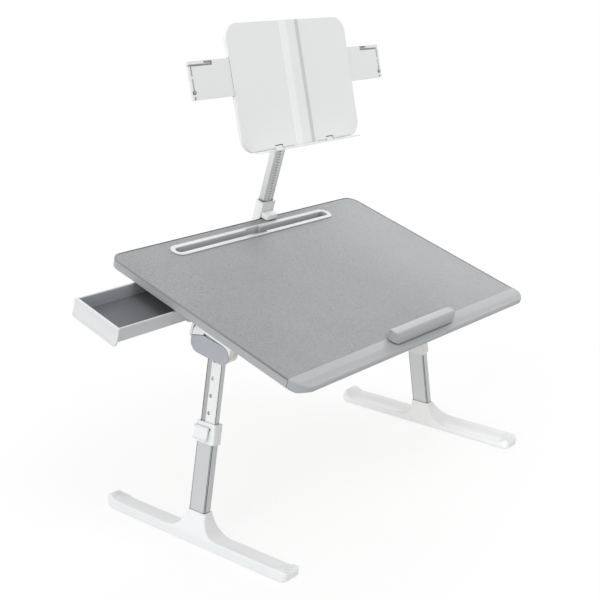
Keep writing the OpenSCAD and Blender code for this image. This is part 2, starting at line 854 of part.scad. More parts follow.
// Section of a tube: round corners and a groove beside each end
module tube_section(w, t, wall, r) {
    difference() {
        round_rect(t, w, r);
        round_rect(t - 2 * wall, w - 2 * wall, r / 2);
        for (i = [-1, 1], j = [-1, 1])
            translate([i * t / 2, j * (w / 2 - 1.9)])
                square([2 * groove_d, groove_w], center = true);
    }
}

// Inner tube, from the leg's head down into the outer tube, with its index holes
module upper_tube(side) {
    low = tube_top - tube_engaged;
    color("#c9cbcd") sided(side) on_leg() difference() {
        translate([0, 0, low]) linear_extrude(leg_len - head_top - low)
            difference() {
                tube_section(upper_w, upper_t, upper_wall, upper_r);
                translate([-upper_t / 2 - cut, strip_y - strip_w / 2])
                    square([cut + index_strip_t, strip_w]);
            }
        for (i = [0 : height_steps + 1])
            rod_x([-upper_t, 0, index_l + i * height_pitch], upper_t, hole_r);
    }
}

// Pale strip let into the inner tube's outer face, with the same holes
module index_strip(side) {
    low = tube_top - tube_engaged;
    color("#e4e5e6") sided(side) on_leg() difference() {
        translate([-upper_t / 2, strip_y - strip_w / 2, low])
            cube([index_strip_t, strip_w, leg_len - head_top - low - 2]);
        for (i = [0 : height_steps + 1])
            rod_x([-upper_t, 0, index_l + i * height_pitch], upper_t, hole_r);
    }
}

// Outer tube, from the foot's socket up into the collar
module lower_tube(side) {
    color("#c9cbcd") sided(side) on_leg() difference() {
        translate([0, 0, foot_socket_l]) linear_extrude(tube_top - foot_socket_l)
            tube_section(tube_w, tube_t, tube_wall, 2);
        rod_x([-tube_t, 0, index_l], tube_t, index_pin_r + 0.4);
    }
}

// Collar on the outer tube's upper end, with the lugs that carry the lever
module collar(side) {
    lug_out = lever_axis_out + 2;
    color("#efefef") sided(side) on_leg() difference() {
        union() {
            translate([0, 0, collar_from_floor]) linear_extrude(collar_h)
                round_rect(collar_t, collar_w, 3);
            for (y = lug_y) translate([-lever_axis_out, y, lever_axis_l])
                rotate([-90, 0, 0]) cylinder(h = lug_t, r = 2);
            for (y = lug_y) box([-lever_axis_out, y, lever_axis_l - 2],
                [-collar_t / 2 + cut, y + lug_t, lever_axis_l + 2]);
        }
        translate([0, 0, collar_from_floor - cut])
            linear_extrude(tube_top - collar_from_floor + cut) round_rect(tube_t, tube_w, 2);
        translate([0, 0, collar_from_floor]) linear_extrude(collar_h + cut)
            round_rect(upper_t + 2 * gap, upper_w + 2 * gap, upper_r);
        rod_x([-collar_t, 0, index_l], collar_t, index_pin_r + pin_play);
        rod_y([-lever_axis_out, lug_y[0] - cut, lever_axis_l],
            lug_y[1] - lug_y[0] + lug_t + 2 * cut, lever_pin_r);
    }
}

lug_y = [lever_y - lever_w / 2 - gap - lug_t, lever_y + lever_w / 2 + gap];

module lever_pin(side) {
    color("#8f9295") sided(side) on_leg()
        rod_y([-lever_axis_out, lug_y[0], lever_axis_l], lug_y[1] - lug_y[0] + lug_t,
            lever_pin_r);
}

// Spring pin that the lever draws out of the inner tube
module index_pin(side) {
    tip = upper_t / 2 + gap;
    head = collar_t / 2 + gap;
    color("#8f9295") sided(side) on_leg() {
        rod_x([-head - cut, 0, index_l], head + cut - tip, index_pin_r);
        rod_x([-head - 1.4, 0, index_l], 1.4, pin_head_r);
    }
}

// Flip lever: a plate that hangs from its barrel, with a turned-out lower edge
module lever(side) {
    y0 = lever_y - lever_w / 2;
    color("#f1f1f1") sided(side) on_leg() translate([-lever_axis_out, 0, lever_axis_l])
        rotate([0, lever_lift, 0]) difference() {
            intersection() {
                along(y0, y0 + lever_w) {
                    translate([-lever_t + 0.9, -lever_len]) square([lever_t, lever_len]);
                    circle(1.9);
                    translate([-lever_t - 0.6, -lever_len]) square([lever_t + 1.5, 2.4]);
                }
                across(-6, 4) translate([lever_y, 2.4 - lever_len / 2])
                    round_rect(lever_w, lever_len + 5, 3);
            }
            rod_y([0, y0 - cut, 0], lever_w + 2 * cut, lever_pin_r + pin_play);
        }
}

// T-foot: a long bar whose deck slopes inward and is dished, with a lip at each end and a
// boss with swept fillets
module foot(side) {
    y0 = foot_rear - foot_len;
    rear_valley = [boss_half + boss_rear_r, foot_rear - 27];
    front_valley = [y0 + 24, -boss_half - boss_front_r];
    color("#f0f0f0") sided(side) difference() {
        on_floor() translate([-foot_x, pivot_y, 0]) difference() {
            intersection() {
                union() {
                    box([-foot_w / 2, y0 + 30, foot_bottom],
                        [foot_w / 2, foot_rear - 30, deck_h + 1]);
                    along(-far, far) boss_end();
                    along(foot_rear - 40, foot_rear) lip_end(rear_lip_h, 4, 9.5);
                    along(y0, y0 + 40) lip_end(front_lip_h, 0.5, 2.5);
                }
                across(-foot_w, foot_w) foot_side(y0);
                linear_extrude(far) foot_plan(y0);
            }
            on_deck() valley(rear_valley[0], boss_rear_r, rear_valley[1], lip_fillet_r);
            on_deck() valley(front_valley[0], lip_fillet_r, front_valley[1], boss_front_r);
            trough(rear_valley[0] + 17, foot_rear - 32);
            trough(y0 + 32, front_valley[1] - 10);
            for (i = [0 : 2]) rod_x([-9, y0 + 2 + 2.3 * i, nose_h + 1.4 + 1.6 * i], 19, 0.7);
            for (p = pad_mid) translate([0, p, -cut]) linear_extrude(pad_t + cut)
                round_rect(pad_w, pad_len, 4);
        }
        on_leg() translate([0, 0, foot_socket_l]) linear_extrude(far)
            round_rect(tube_t, tube_w, 2);
    }
}

// The frame of the sloping deck: X inward along the slope from the outer rim, Z off the deck
module on_deck() {
    translate([rim_w - foot_w / 2, 0, deck_h]) rotate([0, deck_slope, 0]) children();
}

// What is cleared above the deck between two fillets, from a to b along the foot
module valley(a, ra, b, rb) {
    across(-far / 2, far) {
        translate([a, ra]) circle(ra);
        translate([b, rb]) circle(rb);
        translate([a, 0]) square([b - a, far]);
        translate([a - ra, ra]) square([ra, far]);
        translate([b, rb]) square([rb, far]);
    }
}

// A dish along the deck with ball ends
module trough(a, b) {
    on_deck() translate([dish_half, a, dish_up]) rotate([-90, 0, 0]) rotate_extrude()
        intersection() {
            union() {
                square([dish_r, b - a]);
                circle(dish_r);
                translate([0, b - a]) circle(dish_r);
            }
            translate([0, -dish_r]) square([dish_r, b - a + 2 * dish_r]);
        }
}

// A lip from its end: a rounded outer edge, level over the outer half, then a fall to the
// inner side
module lip_end(h, edge, fall) {
    half = foot_w / 2;
    polygon([[-half, foot_bottom], [-half, h - edge], [-half + 2.5, h - edge / 4], [-half + 6, h],
        [0, h], [half * 0.35, h - fall * 0.3], [half * 0.7, h - fall],
        [half, inner_h + 1], [half, foot_bottom]]);
}

// The boss from its end: the outer side leans in to meet the tube
module boss_end() {
    lean = boss_h * tan(splay);
    half = tube_t / 2 / cos(splay) + 1.4;
    polygon([[-foot_w / 2, foot_bottom], [-foot_w / 2, deck_h - 2], [lean - half, boss_h],
        [lean + half, boss_h], [foot_w / 2, inner_h], [foot_w / 2, foot_bottom]]);
}

// The foot from the side: round ends under the lips and a nose that slopes to the front
module foot_side(y0) {
    difference() {
        translate([y0, foot_bottom]) square([foot_len, boss_h - foot_bottom]);
        translate([foot_rear, foot_bottom]) mirror([1, 0]) corner_cut(end_r);
        translate([foot_rear, rear_lip_h]) mirror([1, 0]) mirror([0, 1]) corner_cut(8);
        translate([foot_rear - 8, rear_lip_h]) square(far);
        translate([y0, foot_bottom]) corner_cut(3);
        polygon([[y0 - cut, nose_h], [y0, nose_h], [y0 + nose_run, front_lip_h],
            [y0 + nose_run, far], [y0 - cut, far]]);
    }
}

// The foot from above: wider round corners at the front
module foot_plan(y0) {
    translate([0, y0 + foot_len / 2]) round_rect(foot_w, foot_len, 9);
    translate([0, foot_rear - foot_len / 4]) round_rect(foot_w, foot_len / 2, 5);
}

// What a round corner takes off a square one
module corner_cut(r) {
    difference() {
        translate([-cut, -cut]) square(r + cut);
        translate([r, r]) circle(r);
    }
}

pad_len = 60;
pad_w = 26;
pad_mid = [foot_rear - 50, foot_rear - foot_len + 50];

// Rubber pads let into the foot's underside
module foot_pads(side) {
    color("#55575a") sided(side) on_floor() translate([-foot_x, pivot_y, 0])
        for (p = pad_mid) translate([0, p, 0]) linear_extrude(pad_t)
            round_rect(pad_w, pad_len, 4);
}

// Book stand

column_front = column_gap;
column_back = column_gap + column_d;
jaw_top = -desk_t - gap - jaw_pad_t;
jaw_drop = 9;
slot_low = jaw_top - jaw_travel - jaw_drop - gap;
slot_high = -2.5;

// Upright of the clamp: a shell round the post, a slot for the jaw and a fixed upper jaw
module clamp_column() {
    half = column_w / 2;
    inner = post_w / 2 + gap;
    post_front = post_back - post_t - gap;
    color("#ececec") on_desk() translate([stand_x, 0, 0]) difference() {
        union() {
            translate([0, (column_front + column_back) / 2, -column_below])
                linear_extrude(column_below + column_above) round_rect(column_w, column_d, 3);
            intersection() {
                across(-half + 3, half - 3) {
                    translate([-14, gap + jaw_pad_t]) square([14 + column_front + 4, 10]);
                }
                translate([0, -14, 0]) linear_extrude(40)
                    translate([0, 11]) round_rect(column_w - 6, 22, 4);
            }
        }
        box([-inner, post_front, -column_below + 2], [inner, post_back + gap,
            column_above + cut]);
        box([-7.3, column_front + 1.6, slot_low], [7.3, post_front + cut, slot_high]);
        box([-4.3, column_front - cut, slot_low], [4.3, post_front, slot_high]);
        for (p = column_screw_at) rod_x([-half - cut, p[0], p[1]], 2 + cut, 1.6);
    }
}

column_screw_at = [[13.9, -column_below + 10], [10.2, -column_below + 4.3]];

// Case screws in the column's left face
module column_screws() {
    color("#8f9295") on_desk() for (p = column_screw_at)
        rod_x([stand_x - column_w / 2 + 0.4, p[0], p[1]], 1.6, 1.6);
}

// Sliding lower jaw: a tapered ledge, a neck in the slot and a plate behind it
module clamp_jaw() {
    color("#e4e5e5") on_desk() translate([stand_x, 0, jaw_top]) {
        intersection() {
            across(-12, 12) polygon([[column_front - gap, 0], [-17, 0], [-17, -3],
                [column_front - gap, -jaw_drop]]);
            translate([0, -17, -20]) linear_extrude(40) translate([0, 11])
                round_rect(24, 22, 4);
        }
        box([-4, column_front - gap - cut, -4], [4, column_front + 2.5, 0]);
        box([-7, column_front + 1.9, -jaw_drop], [7, post_back - post_t - 2 * gap, 5]);
        translate([0, -8, 0]) linear_extrude(jaw_pad_t) round_rect(18, 12, 2);
    }
}

// Rack post with a round head that carries the panel
module stand_post() {
    low = column_above - post_engaged;
    front = post_back - post_t;
    color("#ededee") on_desk() translate([stand_x, 0, 0]) difference() {
        union() {
            translate([0, post_axis, low]) linear_extrude(panel_pivot_h - low)
                round_rect(post_w, post_t, 1.5);
            rod_x([-post_w / 2, post_axis, panel_pivot_h], post_w, post_t / 2);
        }
        rod_x([-post_w / 2 - cut, post_axis, panel_pivot_h], post_w + 2 * cut,
            panel_pin_r + pin_play);
        for (h = [low + 8 : rack_pitch : panel_pivot_h - 20])
            box([-3, front - cut, h], [3, front + 1.6, h + rack_pitch * 0.45]);
    }
}

panel_pin_r = 2;
lug_in = post_w / 2 + gap;
bracket_lug_t = 4;

// Steel friction pin through the post's head and the bracket
module panel_pin() {
    l = 2 * (lug_in + bracket_lug_t);
    color("#8f9295") on_desk() {
        rod_x([stand_x - l / 2, post_axis, panel_pivot_h], l, panel_pin_r);
        for (x = [stand_x - l / 2 - 1, stand_x + l / 2])
            rod_x([x, post_axis, panel_pivot_h], 1, 3.5);
    }
}

// Bracket on the panel's back: two lugs with feet, joined above the post
module panel_bracket() {
    r = pivot_back - panel_t - 0.7;
    color("#e2e3e4") on_panel() difference() {
        union() {
            for (i = [-1, 1]) translate([i * (lug_in + bracket_lug_t / 2), 0, 0])
                across(-bracket_lug_t / 2, bracket_lug_t / 2) {
                    translate([pivot_back, pivot_up]) circle(r);
                    translate([panel_t, pivot_up - r]) square([pivot_back - panel_t, 2 * r]);
                }
            for (i = [-1, 1]) translate([i * (lug_in + 8), panel_t, pivot_up])
                along(0, 2) round_rect(16, 40, 3);
            translate([0, panel_t, pivot_up + 14]) along(0, 2) round_rect(50, 12, 3);
        }
        rod_x([-lug_in - 10, pivot_back, pivot_up], 2 * lug_in + 20, panel_pin_r);
    }
}

// The panel from the front
module panel_face() {
    translate([0, panel_h / 2]) round_rect(panel_w, panel_h, panel_corner_r);
}

// Notches in the panel's lower edge for the ledge's tabs
module tab_notches() {
    for (i = [-1, 1]) box([i * tab_a - tab_w / 2 - 0.5, -cut, -cut],
        [i * tab_a + tab_w / 2 + 0.5, ledge_axis[1] + 3.1, ledge_axis[0] + 3.1]);
}

// Front shell with the raised rib down its middle
module panel_front() {
    rib_mid = 2.5;
    color("#e6e7e7") on_panel() difference() {
        union() {
            along(0, shell_t) panel_face();
            linear_extrude(panel_h) translate([rib_mid, 0])
                polygon([[-24.5, 0], [-11, -rib_h], [11, -rib_h], [24.5, 0], [24.5, shell_t / 2],
                    [-24.5, shell_t / 2]]);
        }
        tab_notches();
    }
}

// Back shell with the channel that the two wings slide in
module panel_back() {
    s0 = wing_s - gap;
    s1 = wing_s + wing_h + gap;
    deep = shell_t + 2 * gap + wing_t;
    color("#dfe0e1") on_panel() difference() {
        along(shell_t, panel_t) panel_face();
        for (i = [0, 1]) mirror([i, 0, 0])
            box([wing_inner - wing_travel - gap, 0, s0], [panel_w, deep, s1]);
        tab_notches();
        for (i = [-1, 1]) rod_x([i * tab_a - tab_w / 2 - 4, ledge_axis[1], ledge_axis[0]],
            tab_w + 8, ledge_pin_r);
    }
}

ledge_pin_r = 0.8;

// Pins of the ledge's two hinges
module ledge_pins() {
    color("#8f9295") on_panel() for (i = [-1, 1])
        rod_x([i * tab_a - tab_w / 2 - 4, ledge_axis[1], ledge_axis[0]], tab_w + 8,
            ledge_pin_r);
}

// Page ledge along the panel's foot, cut back at the rib so that it can fold up
module page_ledge() {
    top = -gap;
    low = top - ledge_t;
    color("#e9eaea") on_panel() difference() {
        union() {
            translate([0, 0, low]) linear_extrude(ledge_t) difference() {
                translate([0, -ledge_d / 2]) round_rect(ledge_len, ledge_d, 8);
                translate([-ledge_len, -0.5]) square([2 * ledge_len, ledge_d]);
                translate([2.5, 0]) square([56, 2 * (rib_h + 3.2)], center = true);
            }
            for (i = [-1, 1]) across(i * tab_a - tab_w / 2, i * tab_a + tab_w / 2)
                ledge_tab(low, top);
        }
        for (i = [-1, 1]) rod_x([i * tab_a - tab_w, ledge_axis[1], ledge_axis[0]],
            2 * tab_w, ledge_pin_r + pin_play);
    }
}

// A tab from the side: a barrel on the pin and a foot under it
module ledge_tab(low, top) {
    p = [ledge_axis[1], ledge_axis[0]];
    r = 2.6;
    translate(p) circle(r);
    polygon([p + [r, 0], [p[0] + r, 0], [p[0], low], [-1.2, low], [-1.2, top],
        [p[0] - r, 1.2], p + [-r, 0]]);
}

// Wing that slides out of the panel's side, with the channels that hold the page clip
module wing(side) {
    t0 = shell_t + gap;
    groove = wire_dia + 0.9;
    deep = clip_t_mid + groove / 2;
    low = clip_a - 44;
    color("#e9eaea") on_panel() mirror([side == "left" ? 1 : 0, 0, 0]) difference() {
        along(t0, t0 + wing_t) translate([(wing_inner + wing_reach) / 2, wing_s + wing_h / 2])
            round_rect(wing_reach - wing_inner, wing_h, 3);
        box([clip_a - groove / 2, 0, wing_s - cut], [clip_a + groove / 2, deep, wing_s + 5]);
        box([clip_a - groove / 2, 0, wing_s + 9], [clip_a + groove / 2, deep, wing_s + 32]);
        box([clip_a - groove / 2, 0, wing_s + 36], [clip_a + groove / 2, deep,
            clip_s + groove / 2]);
        translate([clip_a, clip_t_mid, wing_s - cut]) cylinder(h = 45, r = wire_r + pin_play);
        box([clip_a - 4, 0, wing_s + 9], [clip_a + 4, t0 + wing_t - 0.6, wing_s + 14]);
        box([low - 3, 0, clip_s - groove / 2], [wing_reach + cut, deep,
            clip_s + groove / 2]);
        box([low - 3, 0, clip_s - groove / 2], [low + 15, deep,
            clip_s + 2 * bend_r + groove / 2]);
    }
}

// Wire page clip: an upright that turns in the wing, an arm and a hook at its end
module page_clip(side) {
    low = clip_a - 44;
    color("#636568") on_panel() mirror([side == "left" ? 1 : 0, 0, 0])
        translate([0, clip_t_mid, 0]) {
            translate([clip_a, 0, wing_s + 2]) cylinder(h = clip_s - bend_r - wing_s - 2,
                r = wire_r);
            translate([clip_a, 0, wing_s + 10]) cylinder(h = 3, r = 1.9);
            translate([clip_a - bend_r, 0, clip_s - bend_r]) rotate([90, 0, 0])
                wire_bend(0, 90);
            rod_x([low, 0, clip_s], 44 - bend_r, wire_r);
            translate([low, 0, clip_s + bend_r]) rotate([90, 0, 0]) wire_bend(90, 180);
            rod_x([low, 0, clip_s + 2 * bend_r], 12, wire_r);
        }
}

// A bend of the wire, from one angle through another
module wire_bend(start, turn) {
    rotate(start) rotate_extrude(angle = turn) translate([bend_r, 0]) circle(wire_r);
}

desk_board();
top_skin();
edge_band();
edge_piping();
wrist_strip();
pen_tray();
drawer_housing();
housing_screws();
drawer_box();
drawer_liner();
drawer_front();
fold_bracket("left");  // fold_bracket_left
fold_bracket("right");  // fold_bracket_right
bracket_screws();
fold_pin("left");  // fold_pin_left
fold_pin("right");  // fold_pin_right
hinge_housing("left");  // hinge_housing_left
hinge_housing("right");  // hinge_housing_right
tilt_pin("left");  // tilt_pin_left
tilt_pin("right");  // tilt_pin_right
tilt_clip("left");  // tilt_clip_left
tilt_clip("right");  // tilt_clip_right
leg_head("left");  // leg_head_left
leg_head("right");  // leg_head_right
upper_tube("left");  // upper_tube_left
upper_tube("right");  // upper_tube_right
index_strip("left");  // index_strip_left
index_strip("right");  // index_strip_right
lower_tube("left");  // lower_tube_left
lower_tube("right");  // lower_tube_right
collar("left");  // collar_left
collar("right");  // collar_right
lever_pin("left");  // lever_pin_left
lever_pin("right");  // lever_pin_right
index_pin("left");  // index_pin_left
index_pin("right");  // index_pin_right
lever("left");  // lever_left
lever("right");  // lever_right
foot("left");  // foot_left
foot("right");  // foot_right
foot_pads("left");  // foot_pads_left
foot_pads("right");  // foot_pads_right
stop_bar();
stop_pad();
clamp_column();
column_screws();
clamp_jaw();
stand_post();
panel_pin();
panel_front();
panel_back();
panel_bracket();
page_ledge();
ledge_pins();
wing("left");  // wing_left
wing("right");  // wing_right
page_clip("left");  // page_clip_left
page_clip("right");  // page_clip_right
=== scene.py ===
"""Folding table with a leather top, a drawer, a stop bar and a book stand: its looks.

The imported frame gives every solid. Each sub-assembly is a class that dresses its own solids
and builds the finer pieces that stand on them. All lengths here are metres unless a name
ends in _mm, and every object lies in the frame's own axes: X to the user's right, Y away
from the user, Z up.
"""

import json
import logging
import math
from dataclasses import dataclass, field
from enum import Enum
from typing import Any, Protocol

import bmesh
import bpy
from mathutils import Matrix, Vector

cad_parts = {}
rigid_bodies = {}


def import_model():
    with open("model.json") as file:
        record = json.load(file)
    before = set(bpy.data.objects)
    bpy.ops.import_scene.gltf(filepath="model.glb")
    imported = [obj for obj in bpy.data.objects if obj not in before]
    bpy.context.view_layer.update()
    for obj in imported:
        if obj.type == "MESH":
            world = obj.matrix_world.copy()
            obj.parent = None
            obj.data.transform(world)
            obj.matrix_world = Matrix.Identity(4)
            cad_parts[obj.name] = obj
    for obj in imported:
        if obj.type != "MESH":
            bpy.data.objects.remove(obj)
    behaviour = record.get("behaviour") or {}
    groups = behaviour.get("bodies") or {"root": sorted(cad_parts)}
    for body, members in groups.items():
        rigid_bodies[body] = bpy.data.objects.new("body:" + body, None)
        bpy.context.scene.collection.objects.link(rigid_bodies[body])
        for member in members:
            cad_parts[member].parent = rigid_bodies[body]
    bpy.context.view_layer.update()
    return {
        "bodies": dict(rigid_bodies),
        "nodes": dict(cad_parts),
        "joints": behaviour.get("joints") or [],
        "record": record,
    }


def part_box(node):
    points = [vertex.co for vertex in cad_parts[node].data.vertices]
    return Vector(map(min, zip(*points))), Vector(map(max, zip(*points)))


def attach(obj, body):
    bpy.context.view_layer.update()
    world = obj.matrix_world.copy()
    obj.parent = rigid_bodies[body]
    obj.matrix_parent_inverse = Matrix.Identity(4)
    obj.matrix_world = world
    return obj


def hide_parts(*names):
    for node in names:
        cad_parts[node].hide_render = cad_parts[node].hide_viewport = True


log = logging.getLogger("table")

MM = 0.001

# How the table stands
DESK_TILT = math.radians(17.84)
LEG_SPLAY = math.radians(10.9)
# Square off the leather
DESK_UP = Vector((0.0, -math.sin(DESK_TILT), math.cos(DESK_TILT)))

# How far the piping swells out of its seam, and how much smaller the clip is than its recess
CORD_BULGE = 0.4 * MM
CLIP_PLAY = 0.35 * MM

# The pale plate behind the index holes
BACKING_T = 0.6 * MM
BACKING_W = 11 * MM
BACKING_EDGE = 0.15 * MM
BACKING_BEHIND = 2.0 * MM
BACKING_SHORT = 4 * MM
HOLES_OFF_MIDDLE = 4.5 * MM

# The grip slots across a foot's nose: the first one's place and the step to the next, in mm
SLOT_COUNT = 3
SLOT_BACK = (2.0, 2.3)
SLOT_HEIGHT = (13.9, 1.6)
SLOT_R = 0.95 * MM
SLOT_HALF = 9.5 * MM


class Side(Enum):
    """Which end of the table a piece is on."""

    LEFT = "left"
    RIGHT = "right"

    @property
    def sign(self) -> int:
        """The sign of X on this side."""
        return -1 if self is Side.LEFT else 1


def linear(hex_colour: str) -> tuple[float, float, float, float]:
    """Turns an sRGB colour into the linear one that a shader takes.

    Args:
        hex_colour: the colour as "#rrggbb".

    Returns:
        Red, green, blue and an alpha of 1.
    """
    values = [int(hex_colour[i : i + 2], 16) / 255 for i in (1, 3, 5)]
    red, green, blue = (
        v / 12.92 if v <= 0.04045 else ((v + 0.055) / 1.055) ** 2.4 for v in values
    )
    return red, green, blue, 1.0


def add_node(
    tree: bpy.types.NodeTree,
    kind: str,
    settings: dict[str, Any] | None = None,
    inputs: dict[str | int, Any] | None = None,
) -> bpy.types.Node:
    """Adds a node, sets its properties and fills or links its inputs.

    Args:
        tree: the tree that the node goes in.
        kind: the node's Blender type.
        settings: the node's own properties by name.
        inputs: for each input, a value to set or a socket to link from.

    Returns:
        The new node.
    """
    node = tree.nodes.new(kind)
    for key, value in (settings or {}).items():
        setattr(node, key, value)
    for key, value in (inputs or {}).items():
        if isinstance(value, bpy.types.NodeSocket):
            tree.links.new(value, node.inputs[key])
        else:
            node.inputs[key].default_value = value
    return node


def new_material(name: str) -> tuple[bpy.types.Material, bpy.types.NodeTree]:
    """Makes an empty node material.

    Args:
        name: the material's name.

    Returns:
        The material and its node tree.
    """
    material = bpy.data.materials.new(name)
    material.use_nodes = True
    material.node_tree.nodes.clear()
    return material, material.node_tree


def painted_seam_shade(
    tree: bpy.types.NodeTree,
    colour: bpy.types.NodeSocket,
    reach_mm: float,
    depth: float,
    until: float = 0.7,
) -> bpy.types.NodeSocket:
    """Paints shade into a colour where the surface lies deep in a seam, slot or corner.

    It stands for the lack of light there.

    Args:
        tree: the material's tree.
        colour: the colour on the open surface.
        reach_mm: how wide a gap still counts as a seam.
        depth: how much of the colour goes in the deepest seam, from 0 to 1.
        until: how open to the light a place is where the darkening ends, from 0 to 1.

    Returns:
        The colour with its painted shade in the seams.
    """
    near = add_node(
        tree,
        "ShaderNodeAmbientOcclusion",
        {"samples": 8},
        {"Distance": reach_mm * MM},
    )
    share = add_node(
        tree,
        "ShaderNodeMapRange",
        {"interpolation_type": "SMOOTHSTEP"},
        {
            "Value": near.outputs["AO"],
            "From Min": 0.15,
            "From Max": until,
            "To Min": 1.0 - depth,
            "To Max": 1.0,
        },
    )
    return add_node(
        tree,
        "ShaderNodeVectorMath",
        {"operation": "SCALE"},
        {0: colour, "Scale": share.outputs["Result"]},
    ).outputs[0]


@dataclass(frozen=True)
class PaintedFacingLight:
    """Paints light and shade: lightens or darkens the faces that look one way, as the lamps would.
    """

    way: tuple[float, float, float]
    start: float
    full: float
    gain: float

    def apply(
        self, tree: bpy.types.NodeTree, colour: bpy.types.NodeSocket
    ) -> bpy.types.NodeSocket:
        """Paints light or shade by scaling a colour on the faces that look the tint's way.

        Args:
            tree: the material's tree.
            colour: the colour before the tint.

        Returns:
            The colour with its painted light or shade.
        """
        facing = add_node(tree, "ShaderNodeTexCoord").outputs["Normal"]
        turned = add_node(
            tree,
            "ShaderNodeVectorMath",
            {"operation": "DOT_PRODUCT"},
            {0: facing, 1: self.way},
        )
        factor = add_node(
            tree,
            "ShaderNodeMapRange",
            {"interpolation_type": "SMOOTHSTEP"},
            {
                "Value": turned.outputs["Value"],
                "From Min": self.start,
                "From Max": self.full,
                "To Min": 1.0,
                "To Max": self.gain,
            },
        )
        return add_node(
            tree,
            "ShaderNodeVectorMath",
            {"operation": "SCALE"},
            {0: colour, "Scale": factor.outputs["Result"]},
        ).outputs[0]


class Finish(Protocol):
    """What a piece is made of and how its surface was made."""

    name: str

    def material(self) -> bpy.types.Material:
        """Builds the finish's material."""


@dataclass(frozen=True)
class Moulded:
    """An injection-moulded plastic with the fine spark-eroded texture of its mould.

    The eye gets a soft, even sheen that breaks up a little over the length of a part.
    """

    name: str
    colour: str
    roughness: float = 0.42
    ior: float = 1.5
    grain_mm: float = 1.1
    grain_depth_mm: float = 0.012
    mottling: float = 0.012
    seam_shade_mm: float = 2.2
    seam_shade_depth: float = 0.72
    seam_shade_until: float = 0.7
    facing_lights: tuple[PaintedFacingLight, ...] = ()

    def material(self) -> bpy.types.Material:
        """Builds the moulded surface."""
        material, tree = new_material(self.name)
        place = add_node(tree, "ShaderNodeTexCoord").outputs["Object"]
        # flow marks: slow changes over about 120 mm
        flow = add_node(
            tree,
            "ShaderNodeTexNoise",
            inputs={"Vector": place, "Scale": 1 / (120 * MM), "Detail": 2.0},
        )
        base = linear(self.colour)
        low = tuple(c * (1 - self.mottling) for c in base[:3]) + (1.0,)
        high = tuple(min(1.0, c * (1 + self.mottling)) for c in base[:3]) + (1.0,)
        colour = add_node(
            tree,
            "ShaderNodeMix",
            {"data_type": "RGBA"},
            {0: flow.outputs["Fac"], 6: low, 7: high},
        )
        # painted shade deep in seams, slots and corners
        shade_painted = painted_seam_shade(
            tree, colour.outputs[2], self.seam_shade_mm, self.seam_shade_depth, self.seam_shade_until
        )
        # painted light and shade on the faces, by the way they look
        for facing_light in self.facing_lights:
            shade_painted = facing_light.apply(tree, shade_painted)
        rough = add_node(
            tree,
            "ShaderNodeMapRange",
            inputs={
                "Value": flow.outputs["Fac"],
                "From Min": 0.3,
                "From Max": 0.7,
                "To Min": self.roughness - 0.04,
                "To Max": self.roughness + 0.04,
            },
        )
        # the mould's texture, drawn about three times coarser than it is so that it shows
        grain = add_node(
            tree,
            "ShaderNodeTexNoise",
            inputs={
                "Vector": place,
                "Scale": 1 / (self.grain_mm * MM),
                "Detail": 3.0,
                "Roughness": 0.6,
            },
        )
        bump = add_node(
            tree,
            "ShaderNodeBump",
            inputs={
                "Height": grain.outputs["Fac"],
                "Distance": self.grain_depth_mm * MM,
                "Strength": 1.0,
            },
        )
        shader = add_node(
            tree,
            "ShaderNodeBsdfPrincipled",
            inputs={
                "Base Color": shade_painted,
                "Roughness": rough.outputs["Result"],
                "IOR": self.ior,
                "Normal": bump.outputs["Normal"],
            },
        )
        add_node(tree, "ShaderNodeOutputMaterial", inputs={"Surface": shader.outputs[0]})
        return material


